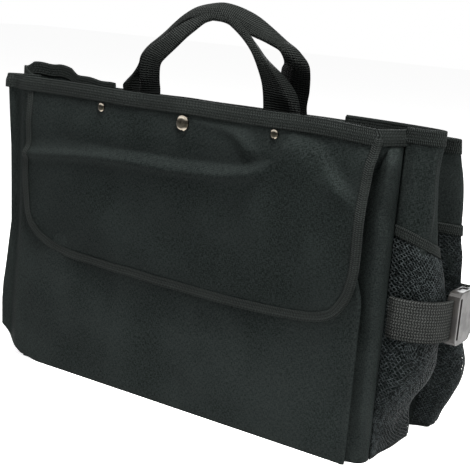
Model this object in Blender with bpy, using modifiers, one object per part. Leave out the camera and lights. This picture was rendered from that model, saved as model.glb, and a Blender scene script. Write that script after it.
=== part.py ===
"""Collapsible boot organiser, shown strapped together for carrying.

Metres, +Z up. The front faces -Y, the sides are at -X and +X. The origin is at the
middle of the footprint, on the floor. The front wall stands upright, and the rear wall
leans forward on it, so the bag is a wedge: its base is wide and its mouth is narrow.
Heights are measured from the floor, and depths from the front of the pocket.
"""

import math

import bmesh
import bpy
import numpy as np
from mathutils import Matrix, Vector

COLLECTION = "trunk_organizer"

# Clearances
GAP = 0.0003
OVERRUN = 0.004

# Overall size of the bag
PANEL_WIDTH = 0.434
RIM_HEIGHT = 0.311
REAR_DEPTH = 0.168
REAR_LEAN = math.radians(17)

# How far below the rim each height lies
PANEL_DROP = 0.0025
WALL_DROP = 0.011
REAR_DROP = 0.0045
HINGE_DROP = 0.035
RIVET_DROP = 0.021
SNAP_DROP = 0.024
MOUTH_DROP = 0.071
PANEL_HEIGHT = RIM_HEIGHT - PANEL_DROP
WALL_HEIGHT = RIM_HEIGHT - WALL_DROP
REAR_HEIGHT = RIM_HEIGHT - REAR_DROP
FLAP_HINGE = RIM_HEIGHT - HINGE_DROP
RIVET_Z = RIM_HEIGHT - RIVET_DROP
SNAP_Z = RIM_HEIGHT - SNAP_DROP
MOUTH_HEIGHT = RIM_HEIGHT - MOUTH_DROP

# Cloth, board and webbing
CLOTH = 0.0009
BOARD = 0.0024
TAPE = 0.001
WEBBING = 0.0018
WEBBING_WIDTH = 0.038
BATTEN_HEIGHT = 0.0060
BATTEN_DEPTH = 0.016
BOARD_LIFT = 0.004

# Front pocket
POCKET_WIDTH = 0.410
POCKET_DEPTH = 0.030
POCKET_CLOTH = 0.0014
POCKET_CORNER = 0.007
MOUTH_GAP = 0.014
MOUTH_WIDTH = 0.370
MOUTH_BINDING = 0.011

# Flap
FLAP_WIDTH = 0.408
FLAP_BOTTOM = 0.121
FLAP_CORNER = 0.056
FLAP_FACE = 0.0030
FLAP_BINDING = 0.010
CLOSURE_HEIGHT = 0.020
CLOSURE_WIDTH = 0.090
CLOSURE_RAISE = 0.024
HINGE_SLOT = 0.0024
CLOSURE = 0.001

# Rim tapes
RIM_BAND = 0.0145
GUSSET_BAND = 0.0135

# Snap and rivets
RIVET_SPREAD = 0.206
RIVET_HEAD = 0.0046
RIVET_RISE = 0.0021
SHANK = 0.0018
SNAP_HEAD = 0.0078
SNAP_RISE = 0.0030
SOCKET_RADIUS = 0.0062
SOCKET_DEPTH = 0.0040
SOCKET_BORE = 0.0030
STUD_RADIUS = 0.0025
STUD_LENGTH = 0.0036
STUD_FLANGE = 0.0060
STUD_BRIM = 0.0008

# Handles
FRONT_HANDLE_SPREAD = 0.166
REAR_HANDLE_SPREAD = 0.182
FRONT_HANDLE_RISE = 0.0800
FRONT_HANDLE_LEAN = math.radians(-1)
REAR_HANDLE_RISE = 0.1026
REAR_HANDLE_LEAN = math.radians(9)
HANDLE_WEBBING = 0.0022
HANDLE_LIFT = 0.0014
GRIP_FOLD = 0.45
ANCHOR_LENGTH = 0.070

# Side walls, folded in: the near fold, the inner fold and the far fold
# Each is given at the floor, at the strap and at the rim
# At the rim the inner and far folds keep ahead of the rear wall's top edge
STRAP_Z = 0.140
INNER_AHEAD = 0.018388
FAR_AHEAD = 0.004388
REAR_TOP_DEPTH = REAR_DEPTH - REAR_HEIGHT * math.sin(REAR_LEAN)
NEAR_FOLD_X = (0.220, 0.256, 0.250)
NEAR_FOLD_Y = (0.104, 0.062, 0.038)
INNER_FOLD_Y = (0.126, 0.090, REAR_TOP_DEPTH - INNER_AHEAD)
FAR_FOLD_X = (0.225, 0.250, 0.236)
FAR_FOLD_Y = (0.150, 0.116, REAR_TOP_DEPTH - FAR_AHEAD)
INNER_FOLD_WIDE = 0.190
INNER_FOLD_NARROW = 0.134
INNER_FOLD_START = 0.134
FOLD_PART = 0.0085

# Mesh pockets on the side walls
NET = 0.0010
NET_STANDOFF = 0.0020
NET_BELLY = 0.007
NET_FOOT = 0.016
NEAR_NET_TOP = (0.224, 0.203)
FAR_NET_TOP = (0.218, 0.212)
NET_TAPE = 0.010
NET_ROWS = 20

# Straps and side-release buckles
STRAP_STANDOFF = 0.0105
BUCKLE_LENGTH = 0.064
BUCKLE_BODY = 0.037
BUCKLE_WIDTH = 0.050
BUCKLE_THICK = 0.0115
BUCKLE_WALL = 0.0022
BUCKLE_CORNER = 0.007
BUCKLE_EDGE = 0.0018
CAVITY_START = 0.011
WINDOW_START = 0.0150
WINDOW_END = 0.0285
WEBBING_SLOT = 0.0042
BAR = 0.0035
TONGUE_WIDTH = 0.009
PRONG_WIDTH = 0.0042
PRONG_TIP = 0.0130
PRONG_BARB = 0.0265
PRONG_SPREAD = 0.0150
TAIL_WIDTH = 0.044
TAIL_THICK = 0.0080
RUNNING = 0.0005

# Base, folded up like a tent
BASE_WIDTH = 0.372
BASE_BOARD = 0.136
BASE_THICK = 0.003
CREST_GAP = 0.005
BASE_PIVOT_Z = 0.0045

# Derived places
LAYERS = 2 * CLOTH + BOARD + 2 * GAP
WALL_BACK = POCKET_DEPTH + LAYERS
PANEL_HALF = PANEL_WIDTH / 2
FLAP_HALF = FLAP_WIDTH / 2
POCKET_HALF = POCKET_WIDTH / 2
STRIP_TOP = RIM_HEIGHT - RIM_BAND - GAP
STRIP_SLOPE = (FLAP_FACE - CLOTH / 2 - GAP) / (STRIP_TOP - FLAP_HINGE)
SNAP_SEAT = FLAP_FACE - (SNAP_Z - SNAP_HEAD - FLAP_HINGE) * STRIP_SLOPE + CLOTH / 2 + GAP
WALL_TOP = WALL_HEIGHT + TAPE + 2 * GAP
BATTEN_BACK = REAR_DEPTH + BATTEN_DEPTH / 2
MIDDLE = (BATTEN_BACK - SNAP_SEAT - SNAP_RISE) / 2
REAR_PIVOT_Z = BATTEN_HEIGHT + GAP
BASE_FRONT_PIVOT = WALL_BACK + BASE_THICK / 2 + GAP
BASE_REAR_PIVOT = REAR_DEPTH - BATTEN_DEPTH / 2 - BASE_THICK / 2 - GAP
FRONT_HANDLE_DEPTH = WALL_BACK + TAPE + 3 * GAP + HANDLE_WEBBING / 2
BASE_HALF = (BASE_REAR_PIVOT - BASE_FRONT_PIVOT) / 2
BASE_ANGLE = math.acos((BASE_HALF - CREST_GAP - BASE_THICK / 2) / BASE_BOARD)


def clear_scene():
    for obj in list(bpy.data.objects):
        bpy.data.objects.remove(obj, do_unlink=True)


clear_scene()
PIECES = bpy.data.collections.new(COLLECTION)
CUTTERS = bpy.data.collections.new("cutters")
bpy.context.scene.collection.children.link(PIECES)
bpy.context.scene.collection.children.link(CUTTERS)
CUTTERS.hide_render = True

FINISHES = {
    "cloth": ((0.014, 0.016, 0.018), 0.72, 0.0),
    "lining": ((0.020, 0.021, 0.023), 0.80, 0.0),
    "binding": ((0.022, 0.024, 0.026), 0.66, 0.0),
    "net": ((0.016, 0.018, 0.019), 0.70, 0.0),
    "webbing": ((0.020, 0.021, 0.022), 0.62, 0.0),
    "strap": ((0.040, 0.042, 0.044), 0.60, 0.0),
    "board": ((0.09, 0.09, 0.09), 0.60, 0.0),
    "plastic": ((0.030, 0.028, 0.026), 0.35, 0.0),
    "closure": ((0.010, 0.010, 0.010), 0.90, 0.0),
    "metal": ((0.42, 0.40, 0.38), 0.25, 1.0),
}


def make_material(name):
    colour, rough, metallic = FINISHES[name]
    material = bpy.data.materials.new(name)
    material.use_nodes = True
    shader = material.node_tree.nodes["Principled BSDF"]
    shader.inputs["Base Color"].default_value = (*colour, 1)
    shader.inputs["Roughness"].default_value = rough
    shader.inputs["Metallic"].default_value = metallic
    material.diffuse_color = (*colour, 1)
    return material


MATERIALS = {name: make_material(name) for name in FINISHES}


def finish(obj, slot, pivot=None, smooth=True):
    """Gives a piece its material and, where it moves, the empty on its joint's axis."""
    obj.data.materials.clear()
    obj.data.materials.append(MATERIALS[slot])
    if smooth and obj.type == "MESH":
        obj.data.shade_smooth()
        obj.data.set_sharp_from_angle(angle=math.radians(40))
    if pivot is not None:
        bpy.context.view_layer.update()
        obj.parent = pivot
        obj.matrix_parent_inverse = pivot.matrix_world.inverted()
    return obj


def put(name, data, collection=None):
    obj = bpy.data.objects.new(name, data)
    (collection or PIECES).objects.link(obj)
    return obj


def depth(value):
    """A depth behind the pocket's front, as a place along Y."""
    return value - MIDDLE


def make_pivot(name, y, z, x=0.0, parent=None):
    """An empty on a joint's axis."""
    pivot = bpy.data.objects.new(name, None)
    PIECES.objects.link(pivot)
    pivot.location = (x, depth(y), z)
    bpy.context.view_layer.update()
    if parent is not None:
        pivot.parent = parent
        pivot.matrix_parent_inverse = parent.matrix_world.inverted()
        bpy.context.view_layer.update()
    return pivot


def ease(value):
    """Smooth step from 0 to 1."""
    t = np.clip(value, 0, 1)
    return t * t * (3 - 2 * t)


def grid_faces(rows, columns):
    return [
        (r * columns + c, r * columns + c + 1, (r + 1) * columns + c + 1, (r + 1) * columns + c)
        for r in range(rows - 1)
        for c in range(columns - 1)
    ]


def sheet(name, surface, rows, columns, thickness, side=1, collection=None):
    """A cloth sheet: surface(u, v) gives its middle on a grid, and Solidify its thickness."""
    u, v = np.meshgrid(np.linspace(0, 1, rows), np.linspace(0, 1, columns), indexing="ij")
    x, y, z = surface(u, v)
    points = np.stack([side * x, depth(y), z], axis=-1).reshape(-1, 3)
    mesh = bpy.data.meshes.new(name)
    mesh.from_pydata(points.tolist(), [], grid_faces(rows, columns))
    obj = put(name, mesh, collection)
    wall = obj.modifiers.new("thickness", "SOLIDIFY")
    wall.thickness = thickness
    wall.offset = 0
    wall.use_even_offset = True
    return obj


def sweep(name, path, across, up, section, side=1):
    """Carries a closed section along a path: each ring is path + a * across + b * up."""
    path, across, up = (np.asarray(values, float) for values in (path, across, up))
    count = len(section)
    rings = [
        path[i] + a * across[i] + b * up[i] for i in range(len(path)) for a, b in section
    ]
    points = np.array(rings)
    points[:, 0] *= side
    points[:, 1] = depth(points[:, 1])
    faces = [
        (i * count + j, i * count + (j + 1) % count, (i + 1) * count + (j + 1) % count, (i + 1) * count + j)
        for i in range(len(path) - 1)
        for j in range(count)
    ]
    faces.append(tuple(range(count)))
    faces.append(tuple((len(path) - 1) * count + j for j in reversed(range(count))))
    mesh = bpy.data.meshes.new(name)
    mesh.from_pydata(points.tolist(), [], faces)
    face_outwards(mesh)
    return put(name, mesh)


def face_outwards(mesh):
    work = bmesh.new()
    work.from_mesh(mesh)
    bmesh.ops.recalc_face_normals(work, faces=work.faces)
    work.to_mesh(mesh)
    work.free()


def channel(width, height, wall):
    """A folded tape's section: two legs and a top web, open at the bottom. Its top is at 0."""
    outer = width / 2 + wall
    inner = width / 2
    return [
        (-outer, -height),
        (-inner, -height),
        (-inner, -wall),
        (inner, -wall),
        (inner, -height),
        (outer, -height),
        (outer, 0.0),
        (-outer, 0.0),
    ]


def strip(width, thickness):
    """A flat tape's section, standing on its edge."""
    half, edge = thickness / 2, width / 2
    return [(-half, -edge), (half, -edge), (half, edge), (-half, edge)]


def box(name, low, high, collection=None):
    """A block between two corners, with depths behind the pocket's front."""
    mesh = bpy.data.meshes.new(name)
    work = bmesh.new()
    bmesh.ops.create_cube(work, size=1)
    size = [b - a for a, b in zip(low, high)]
    centre = [(a + b) / 2 for a, b in zip(low, high)]
    bmesh.ops.scale(work, vec=size, verts=work.verts)
    bmesh.ops.translate(work, vec=(centre[0], depth(centre[1]), centre[2]), verts=work.verts)
    work.to_mesh(mesh)
    work.free()
    return put(name, mesh, collection)


def helper(obj):
    obj.display_type = "WIRE"
    obj.hide_render = True
    return obj


def cut(obj, cutter, operation="DIFFERENCE"):
    boolean = obj.modifiers.new(cutter.name, "BOOLEAN")
    boolean.operation = operation
    boolean.solver = "EXACT"
    boolean.object = cutter
    return boolean


def round_edges(obj, width, segments=2, angle=math.radians(40)):
    bevel = obj.modifiers.new("edges", "BEVEL")
    bevel.width = width
    bevel.segments = segments
    bevel.limit_method = "ANGLE"
    bevel.angle_limit = angle
    return bevel


def turned(name, profile, x, y, z, steps=20, collection=None):
    """A turned piece on an axis along Y: profile gives (radius, depth behind y)."""
    mesh = bpy.data.meshes.new(name)
    work = bmesh.new()
    rings = [work.verts.new((radius, 0, -back)) for radius, back in profile]
    for first, second in zip(rings, rings[1:]):
        work.edges.new((first, second))
    work.to_mesh(mesh)
    work.free()
    obj = put(name, mesh, collection)
    obj.location = (x, depth(y), z)
    obj.rotation_euler.x = math.radians(90)
    screw = obj.modifiers.new("turn", "SCREW")
    screw.axis = "Z"
    screw.steps = steps
    screw.render_steps = steps
    screw.use_merge_vertices = True
    screw.merge_threshold = 0.00001
    return obj


def outline_mesh(name, points, thickness):
    """A flat outline in X and Z, as thick along Y as asked, centred on y = 0."""
    curve = bpy.data.curves.new(name, "CURVE")
    curve.dimensions = "2D"
    curve.fill_mode = "BOTH"
    curve.extrude = thickness / 2
    spline = curve.splines.new("POLY")
    spline.points.add(len(points) - 1)
    for point, (x, z) in zip(spline.points, points):
        point.co = (x, z, 0, 1)
    spline.use_cyclic_u = True
    guide = put(name + "_outline", curve)
    bpy.context.view_layer.update()
    graph = bpy.context.evaluated_depsgraph_get()
    mesh = bpy.data.meshes.new_from_object(guide.evaluated_get(graph))
    bpy.data.objects.remove(guide, do_unlink=True)
    work = bmesh.new()
    work.from_mesh(mesh)
    bmesh.ops.remove_doubles(work, verts=work.verts, dist=0.000005)
    bmesh.ops.recalc_face_normals(work, faces=work.faces)
    bmesh.ops.rotate(work, cent=(0, 0, 0), matrix=Matrix.Rotation(math.radians(90), 3, "X"), verts=work.verts)
    work.to_mesh(mesh)
    work.free()
    mesh.name = name
    return mesh


def arc(centre, radius, start, end, count):
    """Points round part of a circle, its angles in degrees."""
    angles = np.radians(np.linspace(start, end, count))
    return [(centre[0] + radius * math.cos(a), centre[1] + radius * math.sin(a)) for a in angles]


def bezier(first, second, third, fourth, t):
    """A cubic through its ends, drawn towards the two middle points."""
    s = 1 - t
    return s**3 * first + 3 * s**2 * t * second + 3 * s * t**2 * third + t**3 * fourth


def through(values, z):
    """A smooth curve through a value at the floor, at the strap and at the rim."""
    low, middle, high = 0.0, STRAP_Z, RIM_HEIGHT
    a = (z - middle) * (z - high) / ((low - middle) * (low - high))
    b = (z - low) * (z - high) / ((middle - low) * (middle - high))
    c = (z - low) * (z - middle) / ((high - low) * (high - middle))
    return a * values[0] + b * values[1] + c * values[2]


def inner_fold_x(z):
    share = np.clip((z - INNER_FOLD_START) / (RIM_HEIGHT - INNER_FOLD_START), 0, 1)
    return INNER_FOLD_WIDE + (INNER_FOLD_NARROW - INNER_FOLD_WIDE) * share


FOLD_SHARE = 0.42
RIM_SHARE = 7 / 8
SEAM_SHARES = (0.012, 0.022, 0.034, 0.046)
NEAR_STRAIGHT = RIM_HEIGHT - 0.018
FAR_STRAIGHT = REAR_HEIGHT * math.cos(REAR_LEAN) - 0.018


def folded_path(u, seam, fold, inner):
    """Plan of half a side wall: seam to outer fold, rounded, then in to the inner fold."""
    (seam_x, seam_y), (fold_x, fold_y), (inner_x, inner_y) = seam, fold, inner
    out = np.clip(u / FOLD_SHARE, 0, 1)
    back = np.clip((u - FOLD_SHARE) / (1 - FOLD_SHARE), 0, 1)
    first = (fold_x - seam_x) * 0.8
    along = (fold_y - seam_y) * 0.6
    turn = (inner_y - fold_y) * 0.45
    x_out = bezier(seam_x, seam_x + first, fold_x, fold_x, out)
    y_out = bezier(seam_y, seam_y, fold_y - along, fold_y, out)
    x_back = bezier(fold_x, fold_x, inner_x + (fold_x - inner_x) * 0.4, inner_x, back)
    y_back = bezier(fold_y, fold_y + turn, inner_y, inner_y, back)
    outer = u <= FOLD_SHARE
    return np.where(outer, x_out, x_back), np.where(outer, y_out, y_back)


def near_plan(u, z):
    """Near half of a side wall, from the front wall's seam in to the inner fold."""
    level = np.minimum(z, NEAR_STRAIGHT)
    seam = (PANEL_HALF + GAP + CLOTH / 2, POCKET_DEPTH + LAYERS / 2)
    fold = (through(NEAR_FOLD_X, level), through(NEAR_FOLD_Y, level))
    inner = (inner_fold_x(level), through(INNER_FOLD_Y, level) - CLOTH)
    return folded_path(u, seam, fold, inner)


def rear_seam_depth(z):
    return REAR_DEPTH + LAYERS / 2 - (z - REAR_PIVOT_Z) * math.tan(REAR_LEAN)


def far_plan(u, z):
    """Far half, from the rear wall's seam in to the inner fold. Its rim leans with the wall."""
    level = np.minimum(z, FAR_STRAIGHT)
    seam = (PANEL_HALF + GAP + CLOTH / 2, rear_seam_depth(level))
    fold = (through(FAR_FOLD_X, level), through(FAR_FOLD_Y, level))
    inner = (inner_fold_x(level), through(INNER_FOLD_Y, level) + FOLD_PART)
    x, y = folded_path(u, seam, fold, inner)
    return x, y - (z - level) * math.tan(REAR_LEAN)


def plan_normal(plan, u, z, step=0.002):
    """Outward direction of a side wall in plan."""
    x0, y0 = plan(np.maximum(u - step, 0), z)
    x1, y1 = plan(np.minimum(u + step, 1), z)
    dx, dy = x1 - x0, y1 - y0
    length = np.hypot(dx, dy)
    return dy / length, -dx / length


def outset(plan, u, z, distance, turn):
    """A side wall's plan moved out by a distance. turn is -1 where its path runs forward."""
    x, y = plan(u, z)
    nx, ny = plan_normal(plan, u, z)
    return x + turn * nx * distance, y + turn * ny * distance


def wall_layer(name, offset, thickness, low, slot):
    """One layer of the front wall: cloth, board or lining."""
    face = POCKET_DEPTH + offset
    layer = box(name, (-PANEL_HALF, face, low), (PANEL_HALF, face + thickness, WALL_HEIGHT))
    return finish(layer, slot, smooth=False)


def build_front_wall():
    step = CLOTH + GAP
    front_panel = wall_layer("front_panel", 0.0, CLOTH, 0.0, "cloth")
    front_board = wall_layer("front_board", step, BOARD, BOARD_LIFT, "board")
    front_lining = wall_layer("front_lining", step + BOARD + GAP, CLOTH, BOARD_LIFT, "lining")
    middle = POCKET_DEPTH + LAYERS / 2
    half = PANEL_HALF - POCKET_CLOTH - 3 * TAPE
    path = [(side * half, middle, WALL_TOP) for side in (-1, 1)]
    section = channel(LAYERS + 2 * GAP, RIM_BAND, TAPE)
    finish(sweep("front_wall_tape", path, [(0, 1, 0)] * 2, [(0, 0, 1)] * 2, section), "binding")
    return front_panel, front_board, front_lining


def pocket_plan(inset, count=5):
    """Right half of the pocket's cloth in plan, from the middle of its front to its seam."""
    along = Vector((PANEL_HALF - POCKET_HALF, POCKET_DEPTH)).normalized()
    inward = Vector((-along.y, along.x))
    front = Vector((0.0, 1.0))
    corner = Vector((POCKET_HALF, 0.0)) + (front + inward) * inset / (1 + front.dot(inward))
    start = corner - Vector((POCKET_CORNER, 0.0))
    end = corner + POCKET_CORNER * along
    bend = [
        start * (1 - t) ** 2 + corner * 2 * t * (1 - t) + end * t**2
        for t in np.linspace(0, 1, count).tolist()
    ]
    reach = (POCKET_DEPTH - 2 * TAPE - corner.y) / along.y
    return [Vector((0.0, inset))] + bend + [corner + reach * along]


def build_front_rim():
    right = pocket_plan(POCKET_CLOTH / 2)
    plan = [Vector((-p.x, p.y)) for p in reversed(right[1:])] + right[1:]
    path = np.array([(p.x, p.y, RIM_HEIGHT) for p in plan])
    run = np.gradient(path, axis=0)
    run[0], run[-1] = path[1] - path[0], path[-1] - path[-2]
    run /= np.linalg.norm(run, axis=1)[:, None]
    across = np.stack([-run[:, 1], run[:, 0], np.zeros(len(run))], axis=-1)
    up = np.tile((0, 0, 1), (len(path), 1))
    section = channel(POCKET_CLOTH + 4 * GAP, RIM_BAND, TAPE / 2)
    return finish(sweep("front_rim_tape", path, across, up, section), "binding")


def build_pocket():
    """The pocket stands off the wall on bellows, with its mouth under the flap."""
    mesh = bpy.data.meshes.new("front_pocket")
    work = bmesh.new()
    bmesh.ops.create_cube(work, size=1)
    back = POCKET_DEPTH - POCKET_CLOTH / 2 - GAP
    for vert in work.verts:
        at_back = vert.co.y > 0
        half = PANEL_HALF if at_back else POCKET_HALF
        vert.co.x = half if vert.co.x > 0 else -half
        vert.co.z = PANEL_HEIGHT if vert.co.z > 0 else 0.0
        vert.co.y = back if at_back else 0.0
    open_faces = [f for f in work.faces if f.normal.z > 0.9 or f.normal.y > 0.9]
    bmesh.ops.delete(work, geom=open_faces, context="FACES_ONLY")
    corners = [e for e in work.edges if not e.is_boundary]
    bmesh.ops.bevel(work, geom=corners, offset=POCKET_CORNER, segments=4, profile=0.5, affect="EDGES")
    for vert in work.verts:
        vert.co.y = depth(vert.co.y)
    bmesh.ops.recalc_face_normals(work, faces=work.faces)
    work.to_mesh(mesh)
    work.free()
    pocket = put("front_pocket", mesh)
    wall = pocket.modifiers.new("thickness", "SOLIDIFY")
    wall.thickness = POCKET_CLOTH
    wall.offset = -1
    wall.use_even_offset = True
    mouth = box(
        "pocket_mouth_cut",
        (-MOUTH_WIDTH / 2, -OVERRUN, MOUTH_HEIGHT),
        (MOUTH_WIDTH / 2, OVERRUN, MOUTH_HEIGHT + MOUTH_GAP),
        CUTTERS,
    )
    cut(pocket, helper(mouth))
    return finish(pocket, "cloth")


def build_mouth_binding():
    half = MOUTH_WIDTH / 2 - GAP
    top = MOUTH_HEIGHT + GAP + TAPE / 2
    path = [(-half, POCKET_CLOTH / 2, top), (half, POCKET_CLOTH / 2, top)]
    section = channel(POCKET_CLOTH + 2 * GAP, MOUTH_BINDING, TAPE / 2)
    across = [(0, 1, 0)] * 2
    up = [(0, 0, 1)] * 2
    return finish(sweep("pocket_mouth_binding", path, across, up, section), "binding")


def flap_outline(half, bottom, top, radius, count=9):
    """Flap seen from the front: square top corners and well-rounded bottom ones."""
    right = arc((half - radius, bottom + radius), radius, 0, -90, count)
    left = arc((-half + radius, bottom + radius), radius, -90, -180, count)
    return [(half, top)] + right + left + [(-half, top)]


def build_flap(pivot):
    half = FLAP_HALF - TAPE - GAP
    bottom = FLAP_BOTTOM + TAPE + GAP
    mesh = outline_mesh("flap", flap_outline(half, bottom, FLAP_HINGE, FLAP_CORNER), CLOTH)
    flap = put("flap", mesh)
    flap.location.y = depth(-FLAP_FACE)
    finish(flap, "cloth", pivot)

    edge = [(x, z) for x, z in flap_outline(FLAP_HALF, FLAP_BOTTOM, FLAP_HINGE, FLAP_CORNER + TAPE, 13)]
    path = np.array([(x, -FLAP_FACE, z) for x, z in edge])
    run = np.gradient(path, axis=0)
    run[0], run[-1] = (0, 0, -1), (0, 0, 1)
    run /= np.linalg.norm(run, axis=1)[:, None]
    outward = np.cross(run, (0, -1, 0))
    across = np.tile((0, 1, 0), (len(path), 1))
    section = channel(CLOTH + 2 * GAP, FLAP_BINDING, TAPE / 2)
    finish(sweep("flap_binding", path, across, -outward, section), "binding", pivot)

    low = FLAP_BOTTOM + CLOSURE_RAISE
    face = -FLAP_FACE + CLOTH / 2 + GAP
    loop = box(
        "flap_loop_strip",
        (-CLOSURE_WIDTH / 2, face, low),
        (CLOSURE_WIDTH / 2, face + CLOSURE / 2, low + CLOSURE_HEIGHT),
    )
    finish(loop, "closure", pivot)
    hook = box(
        "pocket_hook_strip",
        (-CLOSURE_WIDTH / 2, -GAP - CLOSURE, low),
        (CLOSURE_WIDTH / 2, -GAP, low + CLOSURE_HEIGHT),
    )
    finish(hook, "closure")


def strip_face(z):
    """Depth of the flap's fixed top strip, from the hinge line up to the rim tape."""
    return (z - FLAP_HINGE) * STRIP_SLOPE - FLAP_FACE


def build_flap_strip():
    low = FLAP_HINGE + HINGE_SLOT

    def surface(u, v):
        z = low + v * (STRIP_TOP - low)
        return (2 * u - 1) * FLAP_HALF, strip_face(z), z

    return finish(sheet("flap_top_strip", surface, 2, 2, CLOTH), "cloth")


def fastening_holes(pieces, name, x, z, start, end):
    """One hole through every layer that a rivet or snap passes."""
    radius = SHANK + GAP
    length = end - start
    profile = [(0, 0), (radius, 0), (radius, length), (0, length)]
    cutter = helper(turned(name + "_hole", profile, x, start, z, 16, collection=CUTTERS))
    for piece in pieces:
        cut(piece, cutter)


def dome(radius, rise, count=5):
    """A dome's profile from its pole to its rim, as depths behind the pole."""
    angles = np.linspace(0, math.pi / 2, count)
    return [(radius * math.sin(a), rise * (1 - math.cos(a))) for a in angles]


def build_rivets(pieces):
    for name, side in (("left", -1), ("right", 1)):
        x = side * RIVET_SPREAD / 2
        fastening_holes(pieces, "rivet_" + name, x, RIVET_Z, -SNAP_HEAD, POCKET_DEPTH / 2)
        seat = strip_face(RIVET_Z - RIVET_HEAD) - CLOTH / 2 - GAP
        back = POCKET_CLOTH + GAP
        pole = seat - RIVET_RISE
        tail = [
            (SHANK, seat - pole),
            (SHANK, back - pole),
            (RIVET_HEAD, back - pole),
            (RIVET_HEAD, back - pole + TAPE),
            (0, back - pole + TAPE),
        ]
        profile = dome(RIVET_HEAD, RIVET_RISE) + tail
        finish(turned("rivet_" + name, profile, x, pole, RIVET_Z), "metal")


def build_snap(pieces, wall_layers):
    """Cap and socket on the pocket's top edge; stud and post on the wall behind it."""
    fastening_holes(pieces, "snap_cap", 0.0, SNAP_Z, -SNAP_HEAD, POCKET_DEPTH / 2)
    seat = -SNAP_SEAT
    back = POCKET_CLOTH + GAP
    pole = seat - SNAP_RISE
    cap = dome(SNAP_HEAD, SNAP_RISE, 6) + [
        (SHANK, seat - pole),
        (SHANK, back - pole),
        (0, back - pole),
    ]
    finish(turned("snap_cap", cap, 0.0, pole, SNAP_Z, 24), "metal")
    brim = SOCKET_DEPTH / 4
    socket = [
        (0, 0),
        (SOCKET_RADIUS, 0),
        (SOCKET_RADIUS, brim),
        (SOCKET_BORE + brim, SOCKET_DEPTH),
        (SOCKET_BORE, SOCKET_DEPTH),
        (SOCKET_BORE, brim),
        (0, brim),
    ]
    finish(turned("snap_socket", socket, 0.0, back + GAP, SNAP_Z, 24), "metal")
    fastening_holes(wall_layers, "snap_stud", 0.0, SNAP_Z, POCKET_DEPTH / 2, POCKET_DEPTH + 2 * LAYERS)
    stud = [
        (0, 0),
        (STUD_RADIUS, 0),
        (STUD_RADIUS, STUD_LENGTH - STUD_BRIM),
        (STUD_FLANGE, STUD_LENGTH - STUD_BRIM),
        (STUD_FLANGE, STUD_LENGTH),
        (0, STUD_LENGTH),
    ]
    ahead = POCKET_DEPTH - STUD_LENGTH - TAPE - 2 * GAP
    finish(turned("snap_stud", stud, 0.0, ahead, SNAP_Z, 24), "metal")
    length = LAYERS + 2 * TAPE + 3 * GAP
    post = [
        (0, 0),
        (SHANK, 0),
        (SHANK, length),
        (STUD_FLANGE, length),
        (STUD_FLANGE, length + STUD_BRIM),
        (0, length + STUD_BRIM),
    ]
    finish(turned("snap_post", post, 0.0, POCKET_DEPTH - TAPE - GAP, SNAP_Z, 24), "metal")


def parent_to(obj, pivot):
    bpy.context.view_layer.update()
    world = obj.matrix_world.copy()
    obj.parent = pivot
    obj.matrix_parent_inverse = pivot.matrix_world.inverted()
    obj.matrix_world = world


def rear_point(x, behind, height):
    """A place on the rear wall, as x, depth and height above the floor."""
    y = REAR_DEPTH + behind * math.cos(REAR_LEAN) - height * math.sin(REAR_LEAN)
    z = REAR_PIVOT_Z + behind * math.sin(REAR_LEAN) + height * math.cos(REAR_LEAN)
    return x, y, z


def rear_layer(name, offset, thickness, low, slot, pivot):
    def surface(u, v):
        x = (2 * u - 1) * PANEL_HALF
        height = low + v * (REAR_HEIGHT - low)
        x, y, z = rear_point(x, offset + thickness / 2, height)
        return x, y + 0 * v, z

    return finish(sheet(name, surface, 5, 3, thickness), slot, pivot)


def build_rear_wall(pivot):
    step = CLOTH + GAP
    rear_lining = rear_layer("rear_lining", 0.0, CLOTH, 2 * GAP, "lining", pivot)
    rear_board = rear_layer("rear_board", step, BOARD, 2 * GAP, "board", pivot)
    rear_panel = rear_layer("rear_panel", step + BOARD + GAP, CLOTH, 2 * GAP, "cloth", pivot)
    top = REAR_HEIGHT + RIM_HEIGHT - PANEL_HEIGHT
    ends = [rear_point(side * PANEL_HALF, LAYERS / 2, top) for side in (-1, 1)]
    across = [(0, math.cos(REAR_LEAN), math.sin(REAR_LEAN))] * 2
    up = [(0, -math.sin(REAR_LEAN), math.cos(REAR_LEAN))] * 2
    section = channel(LAYERS + 6 * GAP, RIM_BAND, TAPE)
    finish(sweep("rear_rim_tape", ends, across, up, section), "binding", pivot)
    return rear_lining, rear_board, rear_panel


def build_batten(pivot):
    batten = box(
        "rear_base_batten",
        (-PANEL_HALF, REAR_DEPTH - BATTEN_DEPTH / 2, 0.0),
        (PANEL_HALF, REAR_DEPTH + BATTEN_DEPTH / 2, BATTEN_HEIGHT),
    )
    round_edges(batten, BATTEN_HEIGHT / 10, 2)
    return finish(batten, "cloth", pivot)


def build_base_board(name, pivot_depth, sign, pivot):
    """Half of the base, tilted up to the crest. sign is 1 where it runs back."""
    board = box(name, (-BASE_WIDTH / 2, 0.0, -BASE_THICK / 2), (BASE_WIDTH / 2, BASE_BOARD, BASE_THICK / 2))
    for vert in board.data.vertices:
        vert.co.y = sign * (vert.co.y + MIDDLE)
    if sign < 0:
        board.data.flip_normals()
    corners = board.modifiers.new("corners", "BEVEL")
    corners.width = BASE_THICK / 4
    corners.segments = 2
    board.location = (0.0, depth(pivot_depth), BASE_PIVOT_Z)
    board.rotation_euler.x = sign * BASE_ANGLE
    finish(board, "lining")
    parent_to(board, pivot)
    return board


def handle_path(spread, rise, count=25):
    """A carrying loop: upright legs that lean in and arch over. Gives x, height and twist."""
    t = np.linspace(0, 1, count)
    half = spread / 2
    angle = math.pi * t
    x = -half * np.sign(np.cos(angle)) * np.abs(np.cos(angle)) ** 0.72
    height = rise * np.abs(np.sin(angle)) ** 0.62
    twist = ease((height / rise - 0.40) / 0.55)
    return x, height, twist


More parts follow.
